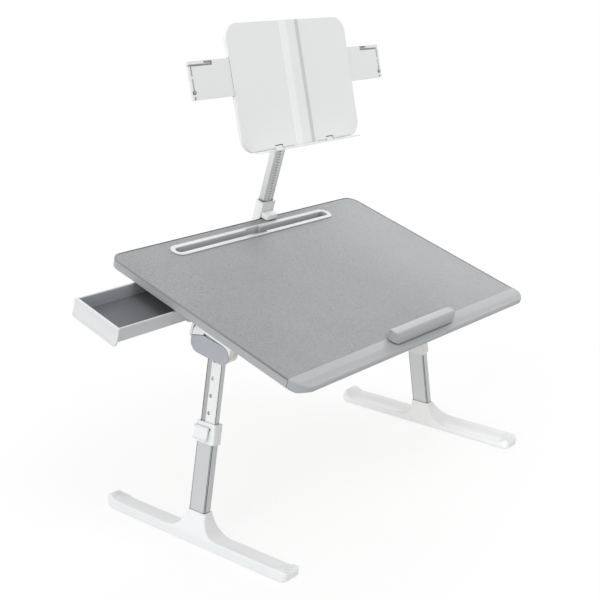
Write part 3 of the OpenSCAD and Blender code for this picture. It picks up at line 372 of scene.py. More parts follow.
@dataclass(frozen=True)
class Leather:
    """Polyurethane leather: a skin embossed with small pebbles and fine creases."""

    name: str
    colour: str
    crease_shade: str
    roughness: float = 0.52
    pebble_mm: float = 1.7
    pebble_depth_mm: float = 0.11
    sheen_from: float = 0.06
    sheen_to: float = 0.30
    unlit_gain: float = 0.93
    sheen_gain: float = 1.13

    def material(self) -> bpy.types.Material:
        """Builds the embossed skin."""
        material, tree = new_material(self.name)
        place = add_node(tree, "ShaderNodeTexCoord").outputs["Object"]
        # real pebbles are about 0.9 mm across, drawn at twice that so that they show
        warp = add_node(
            tree,
            "ShaderNodeTexNoise",
            inputs={"Vector": place, "Scale": 1 / (4 * MM), "Detail": 2.0},
        )
        shifted = add_node(
            tree,
            "ShaderNodeVectorMath",
            {"operation": "MULTIPLY_ADD"},
            {0: warp.outputs["Color"], 1: (0.8 * MM,) * 3, 2: place},
        )
        pebbles = add_node(
            tree,
            "ShaderNodeTexVoronoi",
            {"feature": "DISTANCE_TO_EDGE"},
            {"Vector": shifted.outputs[0], "Scale": 1 / (self.pebble_mm * MM)},
        )
        domes = add_node(
            tree,
            "ShaderNodeMapRange",
            {"interpolation_type": "SMOOTHSTEP"},
            {"Value": pebbles.outputs["Distance"], "From Min": 0.0, "From Max": 0.28},
        )
        fine = add_node(
            tree,
            "ShaderNodeTexNoise",
            inputs={"Vector": place, "Scale": 1 / (0.6 * MM), "Detail": 3.0},
        )
        height = add_node(
            tree,
            "ShaderNodeMath",
            {"operation": "MULTIPLY_ADD"},
            {0: fine.outputs["Fac"], 1: 0.35, 2: domes.outputs["Result"]},
        )
        bump = add_node(
            tree,
            "ShaderNodeBump",
            inputs={
                "Height": height.outputs[0],
                "Distance": self.pebble_depth_mm * MM,
                "Strength": 0.85,
            },
        )
        broad = add_node(
            tree,
            "ShaderNodeTexNoise",
            inputs={"Vector": place, "Scale": 1 / (90 * MM), "Detail": 3.0},
        )
        # painted shade: darker in the creases between the pebbles, with a broad random change of
        # tone
        shade = add_node(
            tree,
            "ShaderNodeMath",
            {"operation": "MULTIPLY_ADD", "use_clamp": True},
            {0: broad.outputs["Fac"], 1: 0.3, 2: domes.outputs["Result"]},
        )
        colour = add_node(
            tree,
            "ShaderNodeMix",
            {"data_type": "RGBA"},
            {0: shade.outputs[0], 6: linear(self.crease_shade), 7: linear(self.colour)},
        )
        # painted sheen: the right end is drawn lighter and the left end darker, as a lamp's gloss
        # on it would look
        along = add_node(tree, "ShaderNodeSeparateXYZ", inputs={0: place}).outputs["X"]
        gain = add_node(
            tree,
            "ShaderNodeMapRange",
            {"interpolation_type": "SMOOTHSTEP"},
            {
                "Value": along,
                "From Min": self.sheen_from,
                "From Max": self.sheen_to,
                "To Min": self.unlit_gain,
                "To Max": self.sheen_gain,
            },
        )
        sheened = add_node(
            tree,
            "ShaderNodeVectorMath",
            {"operation": "SCALE"},
            {0: colour.outputs[2], "Scale": gain.outputs["Result"]},
        )
        rough = add_node(
            tree,
            "ShaderNodeMapRange",
            inputs={
                "Value": domes.outputs["Result"],
                "To Min": self.roughness + 0.14,
                "To Max": self.roughness,
            },
        )
        shader = add_node(
            tree,
            "ShaderNodeBsdfPrincipled",
            inputs={
                "Base Color": sheened.outputs[0],
                "Roughness": rough.outputs["Result"],
                "IOR": 1.47,
                "Normal": bump.outputs["Normal"],
            },
        )
        add_node(tree, "ShaderNodeOutputMaterial", inputs={"Surface": shader.outputs[0]})
        return material


@dataclass(frozen=True)
class Extruded:
    """Anodised aluminium as it leaves the extrusion die: fine straight lines along it.

    The eye gets a satin metal whose glints run along the tube. The broad and narrow faces
    are drawn in different greys and the round corners darker: painted light and shade.
    """

    name: str
    colour: str
    narrow_face_light: str
    lean: float = 0.0
    roughness: float = 0.36
    line_mm: float = 0.9
    corner_shade_depth: float = 0.8

    def material(self) -> bpy.types.Material:
        """Builds the drawn and anodised surface."""
        material, tree = new_material(self.name)
        place = add_node(tree, "ShaderNodeTexCoord").outputs["Object"]
        # turned to the leg's own axis, then stretched along it by 200 to 1
        turned = add_node(
            tree,
            "ShaderNodeMapping",
            {"vector_type": "TEXTURE"},
            {"Vector": place, "Rotation": (0.0, self.lean, 0.0)},
        )
        stretched = add_node(
            tree,
            "ShaderNodeMapping",
            inputs={"Vector": turned.outputs[0], "Scale": (1.0, 1.0, 0.005)},
        )
        lines = add_node(
            tree,
            "ShaderNodeTexNoise",
            inputs={
                "Vector": stretched.outputs[0],
                "Scale": 1 / (self.line_mm * MM),
                "Detail": 3.0,
                "Roughness": 0.65,
            },
        )
        bump = add_node(
            tree,
            "ShaderNodeBump",
            inputs={
                "Height": lines.outputs["Fac"],
                "Distance": 0.006 * MM,
                "Strength": 1.0,
            },
        )
        rough = add_node(
            tree,
            "ShaderNodeMapRange",
            inputs={
                "Value": lines.outputs["Fac"],
                "To Min": self.roughness - 0.08,
                "To Max": self.roughness + 0.08,
            },
        )
        # painted light and shade: the broad and narrow faces are drawn in different greys by the
        # way they face
        facing = add_node(tree, "ShaderNodeTexCoord").outputs["Normal"]
        depth = add_node(tree, "ShaderNodeSeparateXYZ", inputs={0: facing}).outputs["Y"]
        turned_away = add_node(
            tree, "ShaderNodeMath", {"operation": "ABSOLUTE"}, {0: depth}
        ).outputs[0]
        share = add_node(
            tree,
            "ShaderNodeMapRange",
            {"interpolation_type": "SMOOTHSTEP"},
            {"Value": turned_away, "From Min": 0.45, "From Max": 0.85},
        )
        colour = add_node(
            tree,
            "ShaderNodeMix",
            {"data_type": "RGBA"},
            {0: share.outputs["Result"], 6: linear(self.colour), 7: linear(self.narrow_face_light)},
        )
        # painted shade: a dark line along the round corners, where the faces turn from the light
        corner = [
            add_node(
                tree,
                "ShaderNodeMapRange",
                {"interpolation_type": "SMOOTHSTEP"},
                {"Value": turned_away, "From Min": low, "From Max": high},
            ).outputs["Result"]
            for low, high in ((0.12, 0.32), (0.9, 0.98))
        ]
        round_share = add_node(
            tree, "ShaderNodeMath", {"operation": "SUBTRACT"}, {0: corner[0], 1: corner[1]}
        )
        corner_shaded = add_node(
            tree,
            "ShaderNodeMath",
            {"operation": "MULTIPLY_ADD"},
            {0: round_share.outputs[0], 1: -self.corner_shade_depth, 2: 1.0},
        )
        faces = add_node(
            tree,
            "ShaderNodeVectorMath",
            {"operation": "SCALE"},
            {0: colour.outputs[2], "Scale": corner_shaded.outputs[0]},
        )
        # painted shade in its seams and grooves
        shade_painted = painted_seam_shade(tree, faces.outputs[0], 2.4, 0.75)
        shader = add_node(
            tree,
            "ShaderNodeBsdfPrincipled",
            inputs={
                "Base Color": shade_painted,
                "Metallic": 1.0,
                "Roughness": rough.outputs["Result"],
                "Normal": bump.outputs["Normal"],
            },
        )
        add_node(tree, "ShaderNodeOutputMaterial", inputs={"Surface": shader.outputs[0]})
        return material


@dataclass(frozen=True)
class Plated:
    """Zinc-plated steel, turned or drawn: bright, with faint uneven plating."""

    name: str
    colour: str
    roughness: float = 0.3

    def material(self) -> bpy.types.Material:
        """Builds the plated surface."""
        material, tree = new_material(self.name)
        place = add_node(tree, "ShaderNodeTexCoord").outputs["Object"]
        plating = add_node(
            tree,
            "ShaderNodeTexNoise",
            inputs={"Vector": place, "Scale": 1 / (2.5 * MM), "Detail": 4.0},
        )
        rough = add_node(
            tree,
            "ShaderNodeMapRange",
            inputs={
                "Value": plating.outputs["Fac"],
                "To Min": self.roughness - 0.1,
                "To Max": self.roughness + 0.1,
            },
        )
        bump = add_node(
            tree,
            "ShaderNodeBump",
            inputs={"Height": plating.outputs["Fac"], "Distance": 0.01 * MM},
        )
        shader = add_node(
            tree,
            "ShaderNodeBsdfPrincipled",
            inputs={
                "Base Color": linear(self.colour),
                "Metallic": 1.0,
                "Roughness": rough.outputs["Result"],
                "Normal": bump.outputs["Normal"],
            },
        )
        add_node(tree, "ShaderNodeOutputMaterial", inputs={"Surface": shader.outputs[0]})
        return material


@dataclass(frozen=True)
class Fibreboard:
    """Medium-density fibreboard: pressed brown fibres, matt and a little hairy."""

    name: str
    colour: str
    fibre: str

    def material(self) -> bpy.types.Material:
        """Builds the pressed fibres."""
        material, tree = new_material(self.name)
        place = add_node(tree, "ShaderNodeTexCoord").outputs["Object"]
        fibres = add_node(
            tree,
            "ShaderNodeTexNoise",
            inputs={
                "Vector": place,
                "Scale": 1 / (1.8 * MM),
                "Detail": 6.0,
                "Roughness": 0.7,
                "Distortion": 1.2,
            },
        )
        colour = add_node(
            tree,
            "ShaderNodeMix",
            {"data_type": "RGBA"},
            {0: fibres.outputs["Fac"], 6: linear(self.fibre), 7: linear(self.colour)},
        )
        bump = add_node(
            tree,
            "ShaderNodeBump",
            inputs={"Height": fibres.outputs["Fac"], "Distance": 0.08 * MM},
        )
        shader = add_node(
            tree,
            "ShaderNodeBsdfPrincipled",
            inputs={
                "Base Color": colour.outputs[2],
                "Roughness": 0.82,
                "Normal": bump.outputs["Normal"],
            },
        )
        add_node(tree, "ShaderNodeOutputMaterial", inputs={"Surface": shader.outputs[0]})
        return material


@dataclass(frozen=True)
class EdgeCord:
    """Soft extruded edge cord: drawn dark along the rear and right edges, as painted shade, and
    paler along the desktop's left end, as painted light.

    The eye gets a thin dull line between the leather and the band.
    """

    name: str
    colour: str
    pale: str
    lit_until: float
    roughness: float = 0.55

    def material(self) -> bpy.types.Material:
        """Builds the cord's surface."""
        material, tree = new_material(self.name)
        place = add_node(tree, "ShaderNodeTexCoord").outputs["Object"]
        across = add_node(tree, "ShaderNodeSeparateXYZ", inputs={0: place}).outputs["X"]
        # painted light along the left end, painted shade elsewhere
        share = add_node(
            tree,
            "ShaderNodeMapRange",
            {"interpolation_type": "SMOOTHSTEP"},
            {
                "Value": across,
                "From Min": self.lit_until - 12 * MM,
                "From Max": self.lit_until + 12 * MM,
            },
        )
        colour = add_node(
            tree,
            "ShaderNodeMix",
            {"data_type": "RGBA"},
            {0: share.outputs["Result"], 6: linear(self.pale), 7: linear(self.colour)},
        )
        # draw lines from the die, about 1.5 mm apart along the cord
        lines = add_node(
            tree,
            "ShaderNodeTexNoise",
            inputs={"Vector": place, "Scale": 1 / (1.5 * MM), "Detail": 2.0},
        )
        bump = add_node(
            tree,
            "ShaderNodeBump",
            inputs={"Height": lines.outputs["Fac"], "Distance": 0.03 * MM},
        )
        shader = add_node(
            tree,
            "ShaderNodeBsdfPrincipled",
            inputs={
                "Base Color": colour.outputs[2],
                "Roughness": self.roughness,
                "Normal": bump.outputs["Normal"],
            },
        )
        add_node(tree, "ShaderNodeOutputMaterial", inputs={"Surface": shader.outputs[0]})
        return material


# the second grey is the painted shade in the creases
LEATHER = Leather("grey_pu_leather", "#a9abad", "#838587", roughness=0.47)
# painted highlight on the band's faces that look up from the desk
BAND = Moulded(
    "grey_abs_band",
    "#abadaf",
    roughness=0.46,
    facing_lights=(PaintedFacingLight(tuple(DESK_UP), 0.35, 0.9, 1.2),),
)
# painted light along the left end, painted shade along the rear and right
PIPING = EdgeCord("dark_tpe_cord", "#3a3c3e", "#8b8d8f", lit_until=-0.236)
STRIP = Moulded("grey_abs_strip", "#a8aaac", roughness=0.45)
# painted shade, wide and deep, inside the tray
TRAY = Moulded(
    "pale_abs_tray", "#d4d5d6", roughness=0.38, seam_shade_mm=16.0, seam_shade_depth=0.66, seam_shade_until=0.8
)
WHITE = Moulded("white_abs", "#f0f2f3", roughness=0.4)
# painted shade: the foot's up-facing faces are drawn darker
FOOT = Moulded(
    "white_abs_foot",
    "#f0f2f3",
    roughness=0.4,
    facing_lights=(PaintedFacingLight((0.0, 0.0, 1.0), 0.7, 0.97, 0.91),),
)
# painted light: the right foot stands in the table's own shade, so it is drawn a little whiter and
# lighter on its inner side, with painted shade on its top
LIT_FOOT_RIGHT = Moulded(
    "lit_white_abs_foot_right",
    "#f1f3f4",
    roughness=0.4,
    facing_lights=(
        PaintedFacingLight((-1.0, 0.0, 0.0), 0.3, 0.8, 1.16),
        PaintedFacingLight((0.0, 0.0, 1.0), 0.7, 0.97, 0.93),
    ),
)
# painted shade, deep and wide, in the slots round the tilt clip
HINGE = Moulded("white_abs_hinge", "#e9ebec", roughness=0.4, seam_shade_mm=4.5, seam_shade_depth=0.95)
INDEX = Moulded("pale_abs_strip", "#f0f1f1", roughness=0.38, seam_shade_depth=0.3)
DRAWER = Moulded("pale_grey_abs", "#e1e3e4", roughness=0.42)
# painted shade: a darker copy of the drawer's grey, for the box and case whose sides lie in shade
SHADED_DRAWER_BOX = Moulded("shaded_grey_ps_box", "#cdcfd0", roughness=0.46, seam_shade_depth=0.35)
# painted light: the liner's walls that face the front are drawn much lighter
LINER = Moulded(
    "dark_pvc_liner",
    "#6b6d70",
    roughness=0.6,
    seam_shade_depth=0.3,
    facing_lights=(PaintedFacingLight((0.0, -1.0, 0.0), 0.5, 0.9, 3.4),),
)
CLIP = Moulded("lavender_grey_abs", "#aeb0b8", roughness=0.4)
# painted shade, deep and wide, in the stand's seams and corners
STAND = Moulded(
    "white_abs_stand", "#f5f6f6", roughness=0.44, seam_shade_mm=6.0, seam_shade_depth=0.9, seam_shade_until=0.88
)
# painted shade, deep and wide, in the panel's seams, and on the rib's faces that look right
PANEL = Moulded(
    "white_abs_panel",
    "#f3f4f4",
    roughness=0.4,
    seam_shade_mm=6.0,
    seam_shade_depth=0.92,
    seam_shade_until=0.88,
    facing_lights=(PaintedFacingLight((1.0, 0.0, 0.0), 0.1, 0.26, 0.76),),
)
WING = Moulded("white_abs_wing", "#f1f2f2", roughness=0.42, seam_shade_depth=0.25)
STOP = Moulded("silver_grey_abs", "#a8aaac", roughness=0.38)
RUBBER = Moulded("grey_rubber", "#55575a", roughness=0.75, grain_depth_mm=0.04)
STEEL = Plated("zinc_plated_steel", "#b9bbbd")
WIRE = Plated("dark_plated_wire", "#a0a2a7", roughness=0.45)
BOARD = Fibreboard("fibreboard", "#c4b193", "#8f7a5b")


@dataclass
class Workshop:
    """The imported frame, with the materials made so far."""

    frame: dict[str, Any]
    made: dict[str, bpy.types.Material] = field(default_factory=dict)

    def material(self, finish: Finish) -> bpy.types.Material:
        """Gives a finish's material, built once."""
        if finish.name not in self.made:
            self.made[finish.name] = finish.material()
        return self.made[finish.name]

    def dress(
        self,
        node: str,
        finish: Finish,
        edge_mm: float = 0.5,
        segments: int = 2,
        sharper_than: float = 28.0,
        join_flats: bool = True,
    ) -> None:
        """Gives a solid its material and rounds its edges.

        Args:
            node: the solid's name in the frame.
            finish: what it is made of.
            edge_mm: the radius of its edges, 0 for none.
            segments: how many faces make up each rounded edge.
            sharper_than: the least angle between two faces that is rounded, in degrees.
            join_flats: whether the triangles of each flat face are joined. A flat face with
                an opening in it keeps them.
        """
        piece = self.frame["nodes"][node]
        piece.data.materials.clear()
        piece.data.materials.append(self.material(finish))
        if piece.data.attributes.get("custom_normal"):
            piece.data.attributes.remove(piece.data.attributes["custom_normal"])
        piece.data.shade_smooth()
        weld = piece.modifiers.new("weld", "WELD")
        weld.merge_threshold = 0.00001
        if join_flats:
            flat = piece.modifiers.new("flat", "DECIMATE")
            flat.decimate_type = "DISSOLVE"
            flat.angle_limit = math.radians(0.3)
        if edge_mm > 0:
            bevel = piece.modifiers.new("edges", "BEVEL")
            bevel.limit_method = "ANGLE"
            bevel.angle_limit = math.radians(sharper_than)
            bevel.width = edge_mm * MM
            bevel.segments = segments
            bevel.use_clamp_overlap = False
            bevel.harden_normals = True
            bevel.miter_outer = "MITER_ARC"
        log.info("dressed %s in %s", node, finish.name)

    def body_of(self, node: str) -> str:
        """Names the moving body that a solid belongs to."""
        bodies = self.frame["record"]["behaviour"]["bodies"]
        return next(body for body, nodes in bodies.items() if node in nodes)

    def place(self, name: str, mesh: bpy.types.Mesh, finish: Finish, node: str) -> bpy.types.Object:
        """Puts a new mesh where a solid was, on the same body.

        Args:
            name: the new piece's name.
            mesh: its mesh, in the frame's axes.
            finish: what it is made of.
            node: the solid that it stands for.

        Returns:
            The new piece.
        """
        piece = bpy.data.objects.new(name, mesh)
        bpy.context.scene.collection.objects.link(piece)
        mesh.materials.clear()
        mesh.materials.append(self.material(finish))
        mesh.shade_smooth()
        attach(piece, self.body_of(node))
        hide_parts(node)
        log.info("built %s in %s", name, finish.name)
        return piece

    def slot_of(self, node: str) -> str:
        """Names the record's material slot of a solid."""
        parts = self.frame["record"]["subparts"]
        return next(part["material_slot"] for part in parts if part["node"] == node)

    def mould(
        self,
        node: str,
        finish: Finish,
        voxel_mm: float,
        softening: int,
        cutter: bpy.types.Object | None = None,
    ) -> bpy.types.Object:
        """Replaces a solid by the same form with the soft edges of a thick moulding.

        Args:
            node: the solid's name in the frame.
            finish: what it is made of.
            voxel_mm: the size of the new mesh's faces.
            softening: how many times each point moves to the middle of its neighbours.
            cutter: a closed piece that is cut out of the form at the end.

        Returns:
            The new piece.
        """
        draft = bpy.data.objects.new(f"{node}_draft", self.frame["nodes"][node].data.copy())
        bpy.context.scene.collection.objects.link(draft)
        draft.modifiers.new("weld", "WELD").merge_threshold = 0.00001
        skin = draft.modifiers.new("skin", "REMESH")
        skin.mode = "VOXEL"
        skin.voxel_size = voxel_mm * MM
        soft = draft.modifiers.new("soft", "SMOOTH")
        soft.factor = 0.5
        soft.iterations = softening
        if cutter:
            cut = draft.modifiers.new("cut", "BOOLEAN")
            cut.object = cutter
            cut.solver = "EXACT"
        seen = draft.evaluated_get(bpy.context.evaluated_depsgraph_get())
        mesh = bpy.data.meshes.new_from_object(seen)
        mesh.name = f"{node}_moulding"
        bpy.data.objects.remove(draft)
        if cutter:
            bpy.data.objects.remove(cutter)
        return self.place(f"{node}_moulding", mesh, finish, node)

    def islands(self, node: str) -> list[list[Vector]]:
        """Gives the corners of each separate body in a solid."""
        mesh = bmesh.new()
        mesh.from_mesh(self.frame["nodes"][node].data)
        bmesh.ops.remove_doubles(mesh, verts=mesh.verts, dist=0.00001)
        left = set(mesh.verts)
        groups = []
        while left:
            group = [left.pop()]
            for corner in group:
                for edge in corner.link_edges:
                    other = edge.other_vert(corner)
                    if other in left:
                        left.remove(other)
                        group.append(other)
            groups.append([v.co.copy() for v in group])
        mesh.free()
        return groups


@dataclass
class ScrewHeads:
    """Cross-recessed pan heads, each where a solid has a plain one."""

    shop: Workshop
    node: str
    out: Vector
    rings: int = 22
    sectors: int = 56

    def build(self) -> None:
        """Builds every head of the node as one piece."""
        form = bmesh.new()
        for corners in self.shop.islands(self.node):
            self.head(form, corners)
        mesh = bpy.data.meshes.new(f"{self.node}_heads")
        bmesh.ops.recalc_face_normals(form, faces=form.faces)
        form.to_mesh(mesh)
        form.free()
        self.shop.place(f"{self.node}_heads", mesh, STEEL, self.node)

    def head(self, form: bmesh.types.BMesh, corners: list[Vector]) -> None:
        """Adds one head: a flat underside, a side, a crowned top and its cross.

        Args:
            form: the mesh that it goes in.
            corners: the corners of the plain head.
        """
        heights = [c.dot(self.out) for c in corners]
        base, top = min(heights), max(heights)
        flat = [c - self.out * c.dot(self.out) for c in corners]
        middle = sum(flat, Vector()) / len(flat)
        radius = max((c - middle).length for c in flat)
        u = self.out.orthogonal().normalized()
        v = self.out.cross(u)
        depth = top - base

        def point(r: float, k: int, height: float) -> bmesh.types.BMVert:
            angle = 2 * math.pi * k / self.sectors
            spot = middle + (u * math.cos(angle) + v * math.sin(angle)) * r
            return form.verts.new(spot + self.out * height)

        rows = [[point(radius, k, base) for k in range(self.sectors)]]
        for i in range(self.rings):
            share = 1 - i / self.rings
            row = []
            for k in range(self.sectors):
                angle = 2 * math.pi * k / self.sectors
                sink = self.recess(share * math.cos(angle), share * math.sin(angle))
                crown = 0.45 * depth * share**4
                row.append(point(share * radius, k, top - crown - sink * 0.5 * depth))
            rows.append(row)
        for low, high in zip(rows, rows[1:]):
            for k in range(self.sectors):
                after = (k + 1) % self.sectors
                form.faces.new((low[k], low[after], high[after], high[k]))
        centre = form.verts.new(middle + self.out * (top - 0.5 * depth))
        for k in range(self.sectors):
            form.faces.new((rows[-1][k], rows[-1][(k + 1) % self.sectors], centre))
        form.faces.new(list(reversed(rows[0])))

    def recess(self, x: float, y: float) -> float:
        """Gives how deep the cross is at a place on a head of radius 1, from 0 to 1."""
        arm, width, wall = 0.58, 0.13, 0.07
        one = max(abs(x) - width, abs(y) - arm)
        other = max(abs(y) - width, abs(x) - arm)
        return min(1.0, max(0.0, -min(one, other) / wall))


@dataclass
class Desktop:
    """The leather-topped board with its band, piping, wrist strip and pen tray."""

    shop: Workshop

    def build(self) -> None:
        """Dresses the desktop and what is screwed to it."""
        self.shop.dress("desk_board", BOARD, 0.0)
        self.shop.dress("top_skin", LEATHER, 0.6)
        self.shop.dress("edge_band", BAND, 0.4)
        self.shop.dress("edge_piping", PIPING, 0.0)
        self.swell_cord()
        self.shop.dress("wrist_strip", STRIP, 1.4, 3)
        self.shop.dress("pen_tray", TRAY, 0.6, 3)
        for side in Side:
            self.shop.dress(f"fold_bracket_{side.value}", HINGE, 0.5)
            self.shop.dress(f"fold_pin_{side.value}", STEEL, 0.4)
        ScrewHeads(self.shop, "bracket_screws", -DESK_UP).build()

    def swell_cord(self) -> None:
        """Lets the soft cord bulge a little out of its seam."""
        cord = self.shop.frame["nodes"]["edge_piping"]
        bulge = cord.modifiers.new("bulge", "DISPLACE")
        bulge.strength = CORD_BULGE
        bulge.mid_level = 0.0


@dataclass
class Drawer:
    """The drawer, its front and liner, and the runner case that it slides in."""

    shop: Workshop

    def build(self) -> None:
        """Dresses the drawer and its case."""
        self.shop.dress("drawer_housing", SHADED_DRAWER_BOX, 0.5)
        ScrewHeads(self.shop, "housing_screws", -DESK_UP).build()
        self.shop.dress("drawer_box", SHADED_DRAWER_BOX, 0.5)
        self.shop.dress("drawer_liner", LINER, 0.3)
        self.shop.dress("drawer_front", DRAWER, 0.25, 2)


@dataclass
class StopBar:
    """The bar that stands on the wrist strip and keeps things from sliding off."""

    shop: Workshop

    def build(self) -> None:
        """Moulds the bar and dresses its soft pad."""
        self.shop.mould("stop_bar", STOP, 0.7, 9)
        self.shop.dress("stop_pad", RUBBER, 0.2)


@dataclass
class Leg:
    """One folding, telescopic leg with its tilt hinge and its foot."""

    shop: Workshop
    side: Side

    def build(self) -> None:
        """Dresses the leg from the hinge down to the floor."""
        name = self.side.value
        lean = -self.side.sign * LEG_SPLAY
        # the second grey is the narrow faces' painted light or shade
        outer = Extruded(f"anodised_aluminium_{name}", "#cdcfd0", "#bcbebf", lean=lean)
        inner = Extruded(f"dull_aluminium_{name}", "#b2b4b5", "#bcbebf", lean=lean)
        self.shop.dress(f"hinge_housing_{name}", HINGE, 0.5)
        self.shop.dress(f"tilt_pin_{name}", STEEL, 0.3)
        self.shop.dress(f"tilt_clip_{name}", CLIP, 0.6, 3)
        self.free_clip()
        self.shop.dress(f"leg_head_{name}", WHITE, 0.3)
        self.shop.dress(f"upper_tube_{name}", inner, 0.2)
        self.shop.dress(f"index_strip_{name}", INDEX, 0.1)
        self.hole_backing()
        self.shop.dress(f"lower_tube_{name}", outer, 0.2, join_flats=False)
        self.shop.dress(f"collar_{name}", WHITE, 0.6, 3)
        self.shop.dress(f"lever_pin_{name}", STEEL, 0.2)
        self.shop.dress(f"index_pin_{name}", STEEL, 0.3)
        self.shop.dress(f"lever_{name}", WHITE, 0.4)
        # the right foot takes the copy with painted light
        foot = FOOT if self.side is Side.LEFT else LIT_FOOT_RIGHT
        self.shop.mould(f"foot_{name}", foot, 1.1, 7, self.nose_slots())
        self.shop.dress(f"foot_pads_{name}", RUBBER, 0.4)

    def free_clip(self) -> None:
        """Moulds the clip a little small, so that the seam round it shows as it does."""
        clip = self.shop.frame["nodes"][f"tilt_clip_{self.side.value}"]
        shrink = clip.modifiers.new("shrink", "DISPLACE")
        shrink.strength = -CLIP_PLAY
        shrink.mid_level = 0.0

    def hole_backing(self) -> None:
        """Puts the pale slide that lines the inner tube behind its index holes."""
        node = f"index_strip_{self.side.value}"
        sign = self.side.sign
        up = Vector((-sign * math.sin(LEG_SPLAY), 0.0, math.cos(LEG_SPLAY)))
        inward = Vector((-sign * math.cos(LEG_SPLAY), 0.0, -math.sin(LEG_SPLAY)))
        corners = [v.co for v in self.shop.frame["nodes"][node].data.vertices]
        heights = [c.dot(up) for c in corners]
        depth = max(c.dot(inward) for c in corners) + BACKING_BEHIND
        hole_y = (min(c.y for c in corners) + max(c.y for c in corners)) / 2 + HOLES_OFF_MIDDLE
        form = bmesh.new()
        made = bmesh.ops.create_cube(form, size=1.0)
        tall = max(heights) - min(heights) - 2 * BACKING_SHORT
        middle = up * (max(heights) + min(heights)) / 2 + inward * (depth + BACKING_T / 2)
        middle.y = hole_y
        for corner in made["verts"]:
            x, y, z = corner.co
            across = Vector((0.0, y * BACKING_W, 0.0))
            corner.co = middle + inward * x * BACKING_T + across + up * z * tall
        bmesh.ops.bevel(
            form, geom=list(form.edges), offset=BACKING_EDGE, segments=2, affect="EDGES"
        )
        mesh = bpy.data.meshes.new(f"hole_backing_{self.side.value}")
        form.to_mesh(mesh)
        form.free()
        plate = bpy.data.objects.new(f"hole_backing_{self.side.value}", mesh)
        bpy.context.scene.collection.objects.link(plate)
        mesh.materials.append(self.shop.material(INDEX))
        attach(plate, self.shop.body_of(node))
        self.shop.slot_of(node)

    def nose_slots(self) -> bpy.types.Object:
        """Makes the round-ended rods that cut the three grip slots across the foot's nose."""
        low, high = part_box(f"foot_{self.side.value}")
        middle = (low[0] + high[0]) / 2
        form = bmesh.new()
        for i in range(SLOT_COUNT):
            back, height = (first + step * i for first, step in (SLOT_BACK, SLOT_HEIGHT))
            spot = Vector((middle, low[1] + back * MM, height * MM))
            made = bmesh.ops.create_uvsphere(form, u_segments=16, v_segments=12, radius=SLOT_R)
            for corner in made["verts"]:
                corner.co.x += SLOT_HALF if corner.co.x > 0 else -SLOT_HALF
                corner.co += spot
        mesh = bpy.data.meshes.new("nose_slots")
        form.to_mesh(mesh)
        form.free()
        rods = bpy.data.objects.new("nose_slots", mesh)
        bpy.context.scene.collection.objects.link(rods)
        return rods


@dataclass
class BookStand:
    """The clamp-on stand: column, jaw, rack post and panel with its wings and clips."""

    shop: Workshop

    def build(self) -> None:
        """Dresses the stand."""
        self.shop.dress("clamp_column", STAND, 0.5)
        ScrewHeads(self.shop, "column_screws", Vector((-1.0, 0.0, 0.0))).build()
        self.shop.dress("clamp_jaw", STAND, 0.4)
        self.shop.dress("stand_post", STAND, 0.0)
        self.shop.dress("panel_pin", STEEL, 0.3)
        self.shop.dress("panel_front", PANEL, 0.4, 2, 12.0)
        self.shop.dress("panel_back", STAND, 0.5)
        self.shop.dress("panel_bracket", STAND, 0.5)
        self.shop.dress("page_ledge", STAND, 0.5)
        self.shop.dress("ledge_pins", STEEL, 0.1)
        for side in Side:
            self.shop.dress(f"wing_{side.value}", WING, 0.3)
            self.shop.dress(f"page_clip_{side.value}", WIRE, 0.0)


